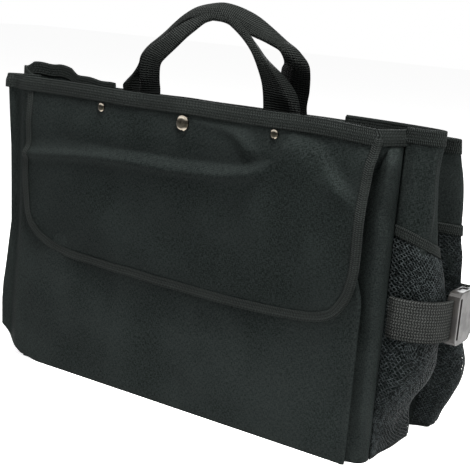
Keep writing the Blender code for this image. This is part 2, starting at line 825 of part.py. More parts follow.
def build_handle(name, spread, rise, y, z, lean, pivot):
    x, height, twist = handle_path(spread, rise)
    plane_up = np.array((0, -math.sin(lean), math.cos(lean)))
    plane_back = np.array((0, math.cos(lean), math.sin(lean)))
    foot = np.array((0, y, z))
    path = foot + np.outer(height, plane_up)
    path[:, 0] = x
    run = np.gradient(path, axis=0)
    run /= np.linalg.norm(run, axis=1)[:, None]
    run[0], run[-1] = plane_up, -plane_up
    in_plane = np.cross(run, plane_back)
    in_plane /= np.linalg.norm(in_plane, axis=1)[:, None]
    quarter = twist * math.pi / 2
    wide = np.cos(quarter)[:, None] * in_plane + np.sin(quarter)[:, None] * plane_back
    flat = np.cross(wide, run) * (1 + twist)[:, None]
    wide = wide * (1 - GRIP_FOLD * twist)[:, None]
    section = strip(WEBBING_WIDTH, HANDLE_WEBBING)
    return finish(sweep(name, path, flat, wide, section), "webbing", pivot)


def build_front_handle(pivot):
    y = FRONT_HANDLE_DEPTH
    for name, side in (("left", -1), ("right", 1)):
        x = side * FRONT_HANDLE_SPREAD / 2
        anchor = box(
            "front_handle_anchor_" + name,
            (x - WEBBING_WIDTH / 2, y - HANDLE_WEBBING / 2, WALL_TOP - ANCHOR_LENGTH),
            (x + WEBBING_WIDTH / 2, y + HANDLE_WEBBING / 2, WALL_TOP - GAP),
        )
        finish(anchor, "webbing", smooth=False)
    foot = WALL_TOP + HANDLE_LIFT + GAP
    build_handle("front_handle", FRONT_HANDLE_SPREAD, FRONT_HANDLE_RISE, y, foot, FRONT_HANDLE_LEAN, pivot)


def build_rear_handle(wall_pivot, pivot):
    top = REAR_HEIGHT + RIM_HEIGHT - PANEL_HEIGHT
    behind = -TAPE - 4 * GAP - HANDLE_WEBBING / 2
    for name, side in (("left", -1), ("right", 1)):
        x = side * REAR_HANDLE_SPREAD / 2
        low = rear_point(x, behind, top - ANCHOR_LENGTH)
        high = rear_point(x, behind, top - GAP)
        across = [(0, math.cos(REAR_LEAN), math.sin(REAR_LEAN))] * 2
        wide = [(1, 0, 0)] * 2
        section = strip(WEBBING_WIDTH, HANDLE_WEBBING)
        anchor = sweep("rear_handle_anchor_" + name, [low, high], across, wide, section)
        finish(anchor, "webbing", wall_pivot, smooth=False)
    _, y, z = rear_point(0.0, behind, top + HANDLE_LIFT + GAP)
    build_handle("rear_handle", REAR_HANDLE_SPREAD, REAR_HANDLE_RISE, y, z, REAR_HANDLE_LEAN, pivot)


def build_gusset(name, tape_name, plan, straight, top, side, lean, pivot=None):
    """Half a side wall, and the tape that binds its top edge."""

    def surface(u, v):
        z = np.where(v <= RIM_SHARE, v / RIM_SHARE * straight, top)
        x, y = plan(u, z)
        return x, y, z + GAP * (1 - v)

    finish(sheet(name, surface, 22, 9, CLOTH, side), "cloth", pivot)
    u = np.linspace(0.03, 0.995, 24)
    height = np.full_like(u, top + GAP + TAPE / 2)
    x, y = plan(u, height)
    path = np.stack([x, y, height], axis=-1)
    nx, ny = plan_normal(plan, u, height)
    across = np.stack([nx, ny, np.zeros_like(nx)], axis=-1)
    up = np.tile((0, -math.tan(lean), 1), (len(u), 1))
    section = channel(CLOTH + 4 * GAP, GUSSET_BAND, TAPE / 2)
    finish(sweep(tape_name, path, across, up, section, side), "binding", pivot)


def build_net(name, tape_name, plan, tops, turn, side, span, pivot=None):
    """A mesh pocket that stands off half a side wall, and the tape along its mouth."""
    start, end = span

    def place(u, v):
        along = start + u * (end - start)
        top = tops[0] + (tops[1] - tops[0]) * u
        z = NET_FOOT + v * (top - NET_TAPE - TAPE - NET_FOOT)
        belly = NET_BELLY * np.sin(math.pi * u) * np.sin(math.pi * v)
        near_strap = ease(np.abs(z - STRAP_Z) / WEBBING_WIDTH - 0.5)
        return along, z, NET_STANDOFF + belly * near_strap

    def surface(u, v):
        along, z, off = place(u, v)
        x, y = outset(plan, along, z, off, turn)
        return x, y, z

    finish(sheet(name, surface, NET_ROWS, 14, NET, side), "net", pivot)
    u = np.linspace(0, 1, NET_ROWS)
    along = start + u * (end - start)
    z = tops[0] + (tops[1] - tops[0]) * u
    low, high = (
        np.stack([*outset(plan, along, level, NET_STANDOFF, turn), level], axis=-1)
        for level in (z - NET_TAPE, z)
    )
    nx, ny = plan_normal(plan, along, z)
    path = (low + high) / 2
    across = np.stack([nx, ny, np.zeros_like(nx)], axis=-1)
    up = (high - low) / NET_TAPE
    finish(sweep(tape_name, path, across, up, strip(NET_TAPE, TAPE), side), "binding", pivot)


def buckle_face():
    """Where the buckle starts, and the plane of its middle."""
    fold_x = through(NEAR_FOLD_X, STRAP_Z)
    fold_y = through(NEAR_FOLD_Y, STRAP_Z)
    return fold_x + STRAP_STANDOFF, fold_y


def strap_standoff(u):
    """A strap is sewn down at the seam, rises over the net's edge and stands out at the fold."""
    sewn = (CLOTH + WEBBING) / 2 + GAP
    over = NET_STANDOFF + NET + WEBBING / 2 + 3 * GAP
    climb = ease((u - SEAM_SHARES[0]) / (SEAM_SHARES[-1] - SEAM_SHARES[0]))
    run = ease((u - SEAM_SHARES[-1]) / (FOLD_SHARE - SEAM_SHARES[-1]))
    return sewn + (over - sewn) * climb + (STRAP_STANDOFF - over) * run


def build_straps(name, side, pivot):
    x_buckle, y_buckle = buckle_face()
    u = np.append(SEAM_SHARES, np.linspace(SEAM_SHARES[-1], FOLD_SHARE, 12)[1:])
    z = np.full_like(u, STRAP_Z)
    x, y = outset(near_plan, u, z, strap_standoff(u), 1)
    path = np.stack([x, y, z], axis=-1)
    path = path[path[:, 1] < y_buckle - BAR]
    path = np.vstack([path, (x_buckle, y_buckle - GAP, STRAP_Z)])
    sweep_strap("strap_front_" + name, path, side, 0.0, None)

    end = y_buckle + BUCKLE_LENGTH
    x, y = outset(far_plan, u[::-1], z, strap_standoff(u[::-1]), -1)
    path = np.stack([x, y, z], axis=-1)
    path = path[path[:, 0] < x_buckle - 4 * BAR]
    start = [(x_buckle, end + step, STRAP_Z) for step in (GAP, BAR / 2)]
    path = np.vstack([start, path])
    sweep_strap("strap_rear_" + name, path, side, math.tan(REAR_LEAN), pivot)


def sweep_strap(name, path, side, slope, pivot):
    """Webbing along a path. Away from its start it leans over by the slope, as its seam does."""
    run = np.gradient(path, axis=0)
    run[:, 2] = 0
    run /= np.linalg.norm(run, axis=1)[:, None]
    across = np.stack([run[:, 1], -run[:, 0], np.zeros(len(run))], axis=-1)
    lean = -slope * ease(2 * np.linspace(0, 1, len(path)))
    up = np.stack([np.zeros(len(path)), lean, np.ones(len(path))], axis=-1)
    finish(sweep(name, path, across, up, strip(WEBBING_WIDTH, WEBBING), side), "strap", pivot)


def plate(name, outline, thickness, collection=None):
    """A flat outline in buckle places (length, width), as thick along X as asked."""
    mesh = outline_mesh(name, outline, thickness)
    work = bmesh.new()
    work.from_mesh(mesh)
    bmesh.ops.rotate(work, cent=(0, 0, 0), matrix=Matrix.Rotation(math.radians(90), 3, "Z"), verts=work.verts)
    work.to_mesh(mesh)
    work.free()
    return put(name, mesh, collection)


def rounded_block(start, end, half, radius, count=4):
    right = arc((end - radius, half - radius), radius, 90, 0, count)
    low = arc((end - radius, -half + radius), radius, 0, -90, count)
    left_low = arc((start + radius, -half + radius), radius, -90, -180, count)
    left = arc((start + radius, half - radius), radius, 180, 90, count)
    return right + low + left_low + left


def buckle_box(name, low, high, place):
    """A cutter in buckle places: length, width, thickness."""
    x, y = place
    return helper(
        box(
            name,
            (x + low[2], y + low[0], STRAP_Z + low[1]),
            (x + high[2], y + high[0], STRAP_Z + high[1]),
            CUTTERS,
        )
    )


def build_buckle(name, side, male_pivot, upper_pivot, lower_pivot):
    """Side-release buckle: a hollow body with side windows, and a tail with a guide tongue."""
    x_middle, y_start = buckle_face()
    x = side * x_middle
    place = (x, y_start)
    half = BUCKLE_WIDTH / 2
    thick = BUCKLE_THICK / 2
    body = plate("buckle_body_" + name, rounded_block(0.0, BUCKLE_BODY, half, BUCKLE_CORNER), BUCKLE_THICK)
    body.location = (x, depth(y_start), STRAP_Z)
    round_edges(body, BUCKLE_EDGE, 2)
    inner = thick - BUCKLE_WALL
    room = half - BUCKLE_WALL
    cavity = buckle_box(
        "buckle_cavity_" + name, (CAVITY_START, -room, -inner), (BUCKLE_BODY + OVERRUN, room, inner), place
    )
    windows_low = (WINDOW_START, -half - OVERRUN, -inner)
    windows_high = (WINDOW_END, half + OVERRUN, inner)
    windows = buckle_box("buckle_windows_" + name, windows_low, windows_high, place)
    slot_low = BAR
    slot = buckle_box(
        "buckle_slot_" + name,
        (slot_low, -WEBBING_WIDTH / 2 - RUNNING, -thick - OVERRUN),
        (slot_low + WEBBING_SLOT, WEBBING_WIDTH / 2 + RUNNING, thick + OVERRUN),
        place,
    )
    for cutter in (cavity, windows, slot):
        cut(body, cutter)
    finish(body, "plastic")

    tail_start = BUCKLE_BODY + GAP
    tail_half = TAIL_WIDTH / 2
    tail = plate(
        "buckle_tail_" + name, rounded_block(tail_start, BUCKLE_LENGTH, tail_half, BUCKLE_CORNER), TAIL_THICK
    )
    tail.location = (x, depth(y_start), STRAP_Z)
    round_edges(tail, BUCKLE_EDGE / 2, 1)
    tongue = buckle_box(
        "buckle_tongue_" + name,
        (CAVITY_START + 2 * RUNNING, -TONGUE_WIDTH / 2, -inner + RUNNING),
        (tail_start + BAR, TONGUE_WIDTH / 2, inner - RUNNING),
        place,
    )
    cut(tail, tongue, "UNION")
    pitch = BAR + WEBBING_SLOT
    for index in range(2):
        start = BUCKLE_LENGTH - BAR - WEBBING_SLOT - index * pitch
        slot = buckle_box(
            f"buckle_ladder_{name}_{index}",
            (start, -WEBBING_WIDTH / 2 - RUNNING, -thick - OVERRUN),
            (start + WEBBING_SLOT, WEBBING_WIDTH / 2 + RUNNING, thick + OVERRUN),
            place,
        )
        cut(tail, slot)
    finish(tail, "plastic")
    parent_to(tail, male_pivot)

    for which, sign, pivot in (("upper", 1, upper_pivot), ("lower", -1, lower_pivot)):
        root = tail_start - GAP
        outer = PRONG_SPREAD + PRONG_WIDTH
        inside = PRONG_SPREAD
        barb = half - BUCKLE_WALL / 2
        outline = [
            (root, inside),
            (root, outer),
            (PRONG_BARB, outer),
            (PRONG_BARB, barb),
            (PRONG_TIP + PRONG_WIDTH, barb),
            (PRONG_TIP, outer - PRONG_WIDTH / 4),
            (PRONG_TIP, inside + PRONG_WIDTH / 4),
            (PRONG_TIP + PRONG_WIDTH / 2, inside),
        ]
        outline = [(a, sign * b) for a, b in outline]
        prong = plate(f"buckle_prong_{which}_{name}", outline, 2 * (inner - RUNNING))
        prong.location = (x, depth(y_start), STRAP_Z)
        finish(prong, "plastic")
        parent_to(prong, pivot)


def build():
    flap_pivot = make_pivot("flap_hinge", -FLAP_FACE, FLAP_HINGE)
    front_handle_pivot = make_pivot("front_handle_hinge", FRONT_HANDLE_DEPTH, WALL_TOP + HANDLE_LIFT)
    batten_pivot = make_pivot("rear_unfold", REAR_DEPTH, 0.0)
    wall_pivot = make_pivot("rear_wall_hinge", REAR_DEPTH, REAR_PIVOT_Z, parent=batten_pivot)
    top = REAR_HEIGHT + RIM_HEIGHT - PANEL_HEIGHT
    behind = -TAPE - 4 * GAP - HANDLE_WEBBING / 2
    _, y, z = rear_point(0.0, behind, top + HANDLE_LIFT)
    rear_handle_pivot = make_pivot("rear_handle_hinge", y, z, parent=wall_pivot)
    base_front_pivot = make_pivot("base_front_hinge", BASE_FRONT_PIVOT, BASE_PIVOT_Z)
    base_rear_pivot = make_pivot("base_rear_hinge", BASE_REAR_PIVOT, BASE_PIVOT_Z, parent=batten_pivot)

    front_layers = build_front_wall()
    build_front_rim()
    pocket = build_pocket()
    build_mouth_binding()
    build_flap(flap_pivot)
    strip_piece = build_flap_strip()
    build_rivets((strip_piece, pocket))
    build_snap((strip_piece, pocket), (*front_layers, bpy.data.objects["front_wall_tape"]))
    build_front_handle(front_handle_pivot)
    build_rear_wall(wall_pivot)
    build_batten(batten_pivot)
    build_base_board("base_board_front", BASE_FRONT_PIVOT, 1, base_front_pivot)
    build_base_board("base_board_rear", BASE_REAR_PIVOT, -1, base_rear_pivot)
    build_rear_handle(wall_pivot, rear_handle_pivot)

    x_middle, y_start = buckle_face()
    rear_top = REAR_PIVOT_Z + REAR_HEIGHT * math.cos(REAR_LEAN)
    for name, side in (("left", -1), ("right", 1)):
        build_gusset(
            "side_front_" + name, "side_front_tape_" + name, near_plan, NEAR_STRAIGHT, PANEL_HEIGHT, side, 0.0
        )
        rear_names = ("side_rear_" + name, "side_rear_tape_" + name)
        build_gusset(*rear_names, far_plan, FAR_STRAIGHT, rear_top, side, REAR_LEAN, wall_pivot)
        build_net(
            "net_front_" + name, "net_front_tape_" + name, near_plan, NEAR_NET_TOP, 1, side, (0.05, 0.50)
        )
        build_net(
            "net_rear_" + name,
            "net_rear_tape_" + name,
            far_plan,
            FAR_NET_TOP,
            -1,
            side,
            (0.06, 0.52),
            wall_pivot,
        )
        build_straps(name, side, wall_pivot)
        male = wall_pivot
        root = y_start + BUCKLE_BODY
        spread = PRONG_SPREAD + PRONG_WIDTH / 2
        upper = make_pivot(f"prong_upper_{name}", root, STRAP_Z + spread, side * x_middle, parent=male)
        lower = make_pivot(f"prong_lower_{name}", root, STRAP_Z - spread, side * x_middle, parent=male)
        build_buckle(name, side, male, upper, lower)


build()
bpy.context.view_layer.update()
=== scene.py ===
"""Looks of a strapped-up trunk organizer: cloth, tapes, webbing, nets, closures, light and camera.

Shapes are worked out in organizer places: x across, depth back from the pocket's face and z up
from the floor, all in metres. placed() turns them into points of the frame. Bare numbers in a
form's formula are such places and lengths, read off the object.
"""

import math
from types import SimpleNamespace

import bmesh
import bpy
import numpy as np
from mathutils import Matrix, Vector


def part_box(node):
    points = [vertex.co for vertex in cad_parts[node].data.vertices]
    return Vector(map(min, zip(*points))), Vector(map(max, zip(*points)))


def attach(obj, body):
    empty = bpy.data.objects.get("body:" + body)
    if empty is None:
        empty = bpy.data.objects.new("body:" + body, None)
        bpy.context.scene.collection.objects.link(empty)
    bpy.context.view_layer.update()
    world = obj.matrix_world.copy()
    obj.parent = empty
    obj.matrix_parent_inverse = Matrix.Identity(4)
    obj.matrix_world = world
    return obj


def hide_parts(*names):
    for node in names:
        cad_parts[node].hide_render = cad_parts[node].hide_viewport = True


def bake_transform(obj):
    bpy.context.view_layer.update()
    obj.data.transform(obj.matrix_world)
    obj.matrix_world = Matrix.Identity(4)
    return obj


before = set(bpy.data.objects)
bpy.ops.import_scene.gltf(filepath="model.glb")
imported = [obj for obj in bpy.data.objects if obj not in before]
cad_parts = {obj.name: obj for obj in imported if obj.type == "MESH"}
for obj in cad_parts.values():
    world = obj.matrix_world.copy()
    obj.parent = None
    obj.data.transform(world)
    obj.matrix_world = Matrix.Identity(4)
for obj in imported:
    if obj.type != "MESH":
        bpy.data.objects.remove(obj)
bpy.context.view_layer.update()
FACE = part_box("front_pocket")[0].y
LIE = "lie"


def link_object(name, data):
    obj = bpy.data.objects.new(name, data)
    bpy.context.collection.objects.link(obj)
    return obj


def new_piece(name, points, faces, material):
    mesh = bpy.data.meshes.new(name)
    mesh.from_pydata(np.reshape(points, (-1, 3)).tolist(), [], np.asarray(faces).tolist())
    mesh.polygons.foreach_set("use_smooth", np.ones(len(mesh.polygons), bool))
    mesh.materials.append(material)
    return link_object(name, mesh)


# Camera and lights.


def set_camera(azimuth, elevation, roll, aim, distance, lens):
    """Camera on a line through aim, rolled about that line, with no shift."""
    az, el, turn = (math.radians(a) for a in (azimuth, elevation, roll))
    back = Vector((math.sin(az) * math.cos(el), -math.cos(az) * math.cos(el), math.sin(el)))
    right = Vector((math.cos(az), math.sin(az), 0.0))
    up = back.cross(right)
    across = right * math.cos(turn) + up * math.sin(turn)
    upright = up * math.cos(turn) - right * math.sin(turn)
    data = bpy.data.cameras.new("camera")
    data.lens = lens
    data.sensor_width = 36.0
    camera = link_object("camera", data)
    turned = Matrix((across, upright, back)).transposed().to_4x4()
    camera.matrix_world = Matrix.Translation(Vector(aim) + back * distance) @ turned
    bpy.context.scene.camera = camera


def area_light(name, spot, aim_height, size, watts, tint):
    """Panel light that aims at a place over the middle of the floor."""
    data = bpy.data.lights.new(name, "AREA")
    data.shape = "RECTANGLE"
    data.size, data.size_y = size
    data.energy = watts
    data.color = tint
    lamp = link_object(name, data)
    lamp.location = spot
    way = Vector(spot) - Vector((0.0, 0.0, aim_height))
    lamp.rotation_euler = way.to_track_quat("Z", "Y").to_euler()


# Shader parts.


class Bench:
    """Lays nodes in one tree and joins them. shader is the one that its material ends in."""

    def __init__(self, tree):
        self.tree = tree
        self.shader = None

    def add(self, kind, inputs=(), **settings):
        made = self.tree.nodes.new(kind)
        for name, value in settings.items():
            setattr(made, name, value)
        for key, value in dict(inputs).items():
            self.feed(value, made.inputs[key])
        return made

    def feed(self, value, socket):
        if hasattr(value, "is_linked"):
            self.tree.links.new(value, socket)
        else:
            socket.default_value = value

    def calc(self, operation, *values):
        return self.add("ShaderNodeMath", enumerate(values), operation=operation).outputs[0]

    def plus(self, a, b):
        return self.calc("ADD", a, b)

    def times(self, a, b):
        return self.calc("MULTIPLY", a, b)

    def less(self, a, b):
        return self.calc("SUBTRACT", a, b)

    def size_of(self, a):
        return self.calc("ABSOLUTE", a)

    def wave(self, place, turn):
        return self.calc("SINE", self.times(place, turn))

    def between(self, value, low, high, start=0.0, end=1.0):
        """Smooth climb from start to end as value goes from low to high."""
        inputs = {"Value": value, "From Min": low, "From Max": high, "To Min": start, "To Max": end}
        return self.add("ShaderNodeMapRange", inputs, interpolation_type="SMOOTHSTEP").outputs[0]

    def vector(self, operation, a, b):
        return self.add("ShaderNodeVectorMath", {0: a, 1: b}, operation=operation).outputs

    def place(self):
        return self.add("ShaderNodeTexCoord").outputs["Object"]

    def lie(self):
        return self.add("ShaderNodeUVMap", uv_map=LIE).outputs[0]

    def axes(self, place):
        return self.add("ShaderNodeSeparateXYZ", {0: place}).outputs

    def noise(self, place, scale, detail, **more):
        inputs = {"Vector": place, "Scale": scale, "Detail": detail, **more}
        return self.add("ShaderNodeTexNoise", inputs).outputs[0]

    def group(self, tree, place, **values):
        inputs = {"Place": place, **values}
        return self.add("ShaderNodeGroup", inputs, node_tree=tree).outputs

    def tint(self, low, high, share):
        """Base colour between two tints by a share that changes over the surface."""
        mix = self.add("ShaderNodeMix", data_type="RGBA")
        for value, key in ((share, 0), ((*low, 1.0), 6), ((*high, 1.0), 7)):
            self.feed(value, mix.inputs[key])
        self.feed(mix.outputs[2], self.shader.inputs["Base Color"])

    def roughen(self, value, start, end, low=0.0, high=1.0):
        rough = self.between(value, low, high, start, end)
        self.feed(rough, self.shader.inputs["Roughness"])

    def emboss(self, height, distance, strength):
        inputs = {"Distance": distance, "Strength": strength, "Height": height}
        self.feed(self.add("ShaderNodeBump", inputs).outputs[0], self.shader.inputs["Normal"])


def shader_group(name, outputs, **numbers):
    """New group that takes a place and named numbers: its bench, entry and exit."""
    tree = bpy.data.node_groups.new(name, "ShaderNodeTree")
    tree.interface.new_socket("Place", in_out="INPUT", socket_type="NodeSocketVector")
    for title, value in numbers.items():
        socket = tree.interface.new_socket(title, in_out="INPUT", socket_type="NodeSocketFloat")
        socket.default_value = value
    for title in outputs:
        tree.interface.new_socket(title, in_out="OUTPUT", socket_type="NodeSocketFloat")
    bench = Bench(tree)
    return bench, bench.add("NodeGroupInput").outputs, bench.add("NodeGroupOutput").inputs


def weave_group():
    """Plain weave: threads over and under in two directions, with slubs along each."""
    bench, entry, leave = shader_group("plain_weave", ["Height", "Grain"], Pitch=0.0008)
    place = entry["Place"]
    apart = bench.axes(place)
    turns = bench.calc("DIVIDE", math.pi, entry["Pitch"])
    across, along = bench.wave(apart[0], turns), bench.wave(apart[1], turns)
    over = bench.between(bench.times(across, along), -0.25, 0.25)
    upper = bench.times(over, bench.size_of(across))
    lift = bench.plus(upper, bench.times(bench.less(1.0, over), bench.size_of(along)))
    slub = bench.noise(place, scale=420.0, detail=2.0)
    bench.feed(bench.plus(bench.times(lift, 0.7), bench.times(slub, 0.45)), leave["Height"])
    # Slubs: each thread is thicker in places, along its own direction.
    slubs = []
    for stretch in ((0.22, 1.0, 1.0), (1.0, 0.22, 1.0)):
        drawn = bench.vector("MULTIPLY", place, stretch)[0]
        slubs.append(bench.noise(drawn, scale=1500.0, detail=1.0))
    bench.feed(bench.between(bench.plus(*slubs), 0.82, 1.20), leave["Grain"])
    return bench.tree


def rib_group():
    """Ribbed tape: round ribs across the band, each broken by the thread that crosses it."""
    bench, entry, leave = shader_group(
        "ribbed_band", ["Height"], Rib=0.0012, Cross=0.0009, Slant=0.0, Column=0.006, Break=0.35
    )
    apart = bench.axes(entry["Place"])
    column = bench.calc("PINGPONG", apart[1], entry["Column"])
    run = bench.plus(apart[0], bench.times(column, entry["Slant"]))
    rib = bench.size_of(bench.wave(run, bench.calc("DIVIDE", math.pi, entry["Rib"])))
    weft = bench.size_of(bench.wave(apart[1], bench.calc("DIVIDE", math.pi, entry["Cross"])))
    gap = bench.times(bench.less(1.0, weft), entry["Break"])
    bench.feed(bench.times(rib, bench.less(1.0, gap)), leave["Height"])
    return bench.tree


def stitch_group():
    """Zigzag seam: a thread that swings to both sides of a row, as far from it as Swing."""
    bench, entry, leave = shader_group(
        "zigzag_seam", ["Mask"], Row=0.006, Swing=0.0018, Pitch=0.0034, Thread=0.0005
    )
    apart = bench.axes(entry["Place"])
    share = bench.calc("DIVIDE", bench.calc("PINGPONG", apart[0], entry["Pitch"]), entry["Pitch"])
    swing = bench.times(bench.less(bench.times(share, 2.0), 1.0), entry["Swing"])
    off = bench.size_of(bench.less(bench.size_of(apart[1]), bench.plus(entry["Row"], swing)))
    mask = bench.between(bench.calc("DIVIDE", off, entry["Thread"]), 0.6, 1.3, 1.0, 0.0)
    bench.feed(mask, leave["Mask"])
    return bench.tree


def wear_group():
    """Soft clouds of handling: where a surface is rubbed or dusty, from 0 to 1."""
    bench, entry, leave = shader_group("handling_wear", ["Wear"], Scale=14.0)
    cloud = bench.noise(entry["Place"], entry["Scale"], detail=3.0, Roughness=0.6)
    bench.feed(bench.between(cloud, 0.35, 0.68), leave["Wear"])
    return bench.tree


WEAVE, RIBS, SEAM, WEAR = weave_group(), rib_group(), stitch_group(), wear_group()


# Materials.


def start_material(name, roughness, specular, metallic=0.0):
    made = bpy.data.materials.new(name)
    made.use_nodes = True
    made.node_tree.nodes.clear()
    bench = Bench(made.node_tree)
    plain = {"Roughness": roughness, "Specular IOR Level": specular, "Metallic": metallic}
    bench.shader = bench.add("ShaderNodeBsdfPrincipled", plain)
    bench.add("ShaderNodeOutputMaterial", {"Surface": bench.shader.outputs[0]})
    return made, bench


def woven_material(name, dark, light, pitch, roughness=0.55, on_surface=True):
    """Woven cloth. On a formed surface the weave follows its lie, on a CAD node the object."""
    made, bench = start_material(name, roughness, specular=0.012)
    place = bench.place()
    woven = bench.group(WEAVE, bench.lie() if on_surface else place, Pitch=pitch)
    wear = bench.group(WEAR, place, Scale=11.0)["Wear"]
    share = bench.plus(bench.times(wear, 0.16), bench.times(woven["Height"], 0.50))
    share = bench.plus(share, bench.times(woven["Grain"], 0.34))
    bench.tint(dark, light, bench.between(share, 0.16, 0.84))
    bench.roughen(wear, roughness - 0.05, roughness + 0.06)
    bench.emboss(woven["Height"], distance=0.0004, strength=0.9)
    return made


def band_material(name, dark, light, depth, ribs, seam=None, painted_light_heights=None):
    """Tape or webbing, whose pattern runs along the band's own length.

    ribs and seam are values of the two groups. The last argument holds two heights: above
    the first the band grows lighter with painted light, and above the second it is fully lit.
    """
    made, bench = start_material(name, roughness=0.5, specular=0.02)
    lie, place = bench.lie(), bench.place()
    height = bench.group(RIBS, lie, **ribs)["Height"]
    wear = bench.group(WEAR, place, Scale=22.0)["Wear"]
    share = bench.plus(bench.times(height, 0.85), bench.times(wear, 0.15))
    if seam:
        thread = bench.group(SEAM, lie, **seam)["Mask"]
        height = bench.plus(height, bench.times(thread, 0.5))
        share = bench.plus(bench.times(share, 0.85), bench.times(thread, 0.25))
    # Painted light: the band grows lighter with height, as on a grip lit from above.
    if painted_light_heights:
        share = bench.times(share, bench.between(bench.axes(place)[2], *painted_light_heights, 0.40, 0.85))
    bench.tint(dark, light, share)
    bench.roughen(wear, start=0.45, end=0.55)
    bench.emboss(height, depth, strength=0.9)
    return made


def net_material():
    """Knitted net yarn, with a fine twist along it."""
    made, bench = start_material("net", roughness=0.5, specular=0.04)
    place = bench.place()
    wear = bench.group(WEAR, place, Scale=260.0)["Wear"]
    twist = bench.noise(place, scale=900.0, detail=1.0)
    share = bench.plus(bench.times(wear, 0.5), bench.between(twist, 0.42, 0.62, 0.0, 0.4))
    bench.tint((0.0006, 0.0011, 0.0011), (0.052, 0.062, 0.064), share)
    bench.emboss(twist, distance=0.0002, strength=0.6)
    return made


def plastic_material():
    """Moulded acetal: fine spark texture, rubbed smooth where it is handled."""
    made, bench = start_material("plastic", roughness=0.36, specular=0.34)
    place = bench.place()
    wear = bench.group(WEAR, place, Scale=60.0)["Wear"]
    bench.tint((0.014, 0.013, 0.0125), (0.026, 0.024, 0.022), wear)
    bench.roughen(wear, start=0.42, end=0.30)
    grain = bench.noise(place, scale=1500.0, detail=2.0)
    bench.emboss(grain, distance=0.00006, strength=0.5)
    return made


def metal_material(name, node=None):
    """Nickel plate with fine scuffs. A cap has a painted highlight round its rim, full at its top and half
    at its bottom, over its dark middle.
    """
    made, bench = start_material(name, roughness=0.2, specular=0.5, metallic=1.0)
    place = bench.place()
    share = bench.times(bench.group(WEAR, place, Scale=240.0)["Wear"], 0.04)
    # Painted highlight: a bright ring at the cap's rim, strongest at its top and half as strong at its
    # bottom.
    if node:
        low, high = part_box(node)
        middle = ((low.x + high.x) / 2, 0.0, (low.z + high.z) / 2)
        radius = (high.x - low.x) / 2
        flat = bench.vector("MULTIPLY", place, (1.0, 0.0, 1.0))[0]
        off = bench.vector("DISTANCE", flat, middle)["Value"]
        rim = bench.between(off, 0.50 * radius, 0.78 * radius)
        rise = bench.axes(place)[2]
        upper = bench.between(rise, middle[2] + 0.30 * radius, middle[2] + 0.65 * radius)
        lower = bench.between(rise, middle[2] - 0.35 * radius, middle[2] - 0.70 * radius)
        painted_glint = bench.calc("MAXIMUM", upper, bench.times(lower, 0.5))
        share = bench.plus(share, bench.times(rim, painted_glint))
    scuff = bench.noise(place, scale=2400.0, detail=2.0)
    bench.tint((0.022, 0.020, 0.015), (0.52, 0.46, 0.38), share)
    bench.roughen(scuff, start=0.07, end=0.16, low=0.35, high=0.7)
    bench.emboss(scuff, distance=0.00002, strength=0.4)
    return made


def closure_material():
    """Hook and loop: a close pile of short hooks."""
    made, bench = start_material("closure", roughness=0.75, specular=0.05)
    bench.feed(0.04, bench.shader.inputs["Sheen Weight"])
    bench.feed(0.45, bench.shader.inputs["Sheen Roughness"])
    inputs = {"Vector": bench.place(), "Scale": 900.0}
    pile = bench.add("ShaderNodeTexVoronoi", inputs).outputs["Distance"]
    bench.tint((0.006, 0.006, 0.0065), (0.022, 0.022, 0.023), pile)
    bench.emboss(pile, distance=0.0006, strength=1.0)
    return made


def board_material():
    """Stiffening board: faintly mottled black fibre."""
    made, bench = start_material("board", roughness=0.7, specular=0.3)
    mottle = bench.noise(bench.place(), scale=260.0, detail=5.0)
    bench.tint((0.012, 0.012, 0.012), (0.03, 0.03, 0.03), mottle)
    bench.emboss(mottle, distance=0.0002, strength=0.5)
    return made


OUTSIDE = (0.0020, 0.0034, 0.0031), (0.0235, 0.0285, 0.0275)
INSIDE = (0.010, 0.0105, 0.011), (0.020, 0.021, 0.022)
SHADED = (0.0018, 0.0030, 0.0028), (0.0203, 0.0247, 0.0238)
CLOTH = woven_material("cloth", *OUTSIDE, pitch=0.00125)
FLAP_CLOTH = woven_material("flap_cloth", *SHADED, pitch=0.00125)
CLOTH_FIXED = woven_material("cloth_fixed", *OUTSIDE, pitch=0.00075, on_surface=False)
LINING = woven_material("lining", *INSIDE, pitch=0.0005, roughness=0.5)
LINING_FIXED = woven_material("lining_fixed", *INSIDE, pitch=0.0005, roughness=0.5, on_surface=False)
BINDING = band_material(
    "binding", (0.0012, 0.0018, 0.0017), (0.034, 0.039, 0.037), 0.0008,
    {"Rib": 0.0018, "Cross": 0.0026, "Slant": 0.35, "Column": 0.0045, "Break": 0.5},
    seam={"Row": 0.0058, "Swing": 0.0022, "Pitch": 0.0018, "Thread": 0.00055},
)
WEBBING = band_material(
    "webbing", (0.0006, 0.0009, 0.0009), (0.036, 0.040, 0.038), 0.0011,
    {"Rib": 0.0023, "Cross": 0.0024, "Slant": 0.12, "Column": 0.0025, "Break": 0.45},
    # The handle is painted lighter above these heights, as lit from above at its grip.
    painted_light_heights=(0.335, 0.372),
)
STRAP = band_material(
    "strap", (0.0010, 0.0014, 0.0014), (0.064, 0.068, 0.065), 0.0012,
    {"Rib": 0.0025, "Cross": 0.0027, "Slant": 0.5, "Column": 0.0027, "Break": 0.9},
)
NET, PLASTIC, CLOSURE, BOARD = net_material(), plastic_material(), closure_material(), board_material()
METAL = metal_material("metal")
# Rivet and snap caps, each with a painted highlight round its rim.
PAINTED_GLINT_CAPS = {node: metal_material(f"{node}_metal", node) for node in ("rivet_left", "rivet_right", "snap_cap")}

# Sizes that the CAD nodes give.


def node_box(name):
    """A CAD node's low and high corner in organizer places, to a tenth of a millimetre."""
    low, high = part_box(name)
    return np.round([(low.x, low.y - FACE, low.z), (high.x, high.y - FACE, high.z)], 4).tolist()


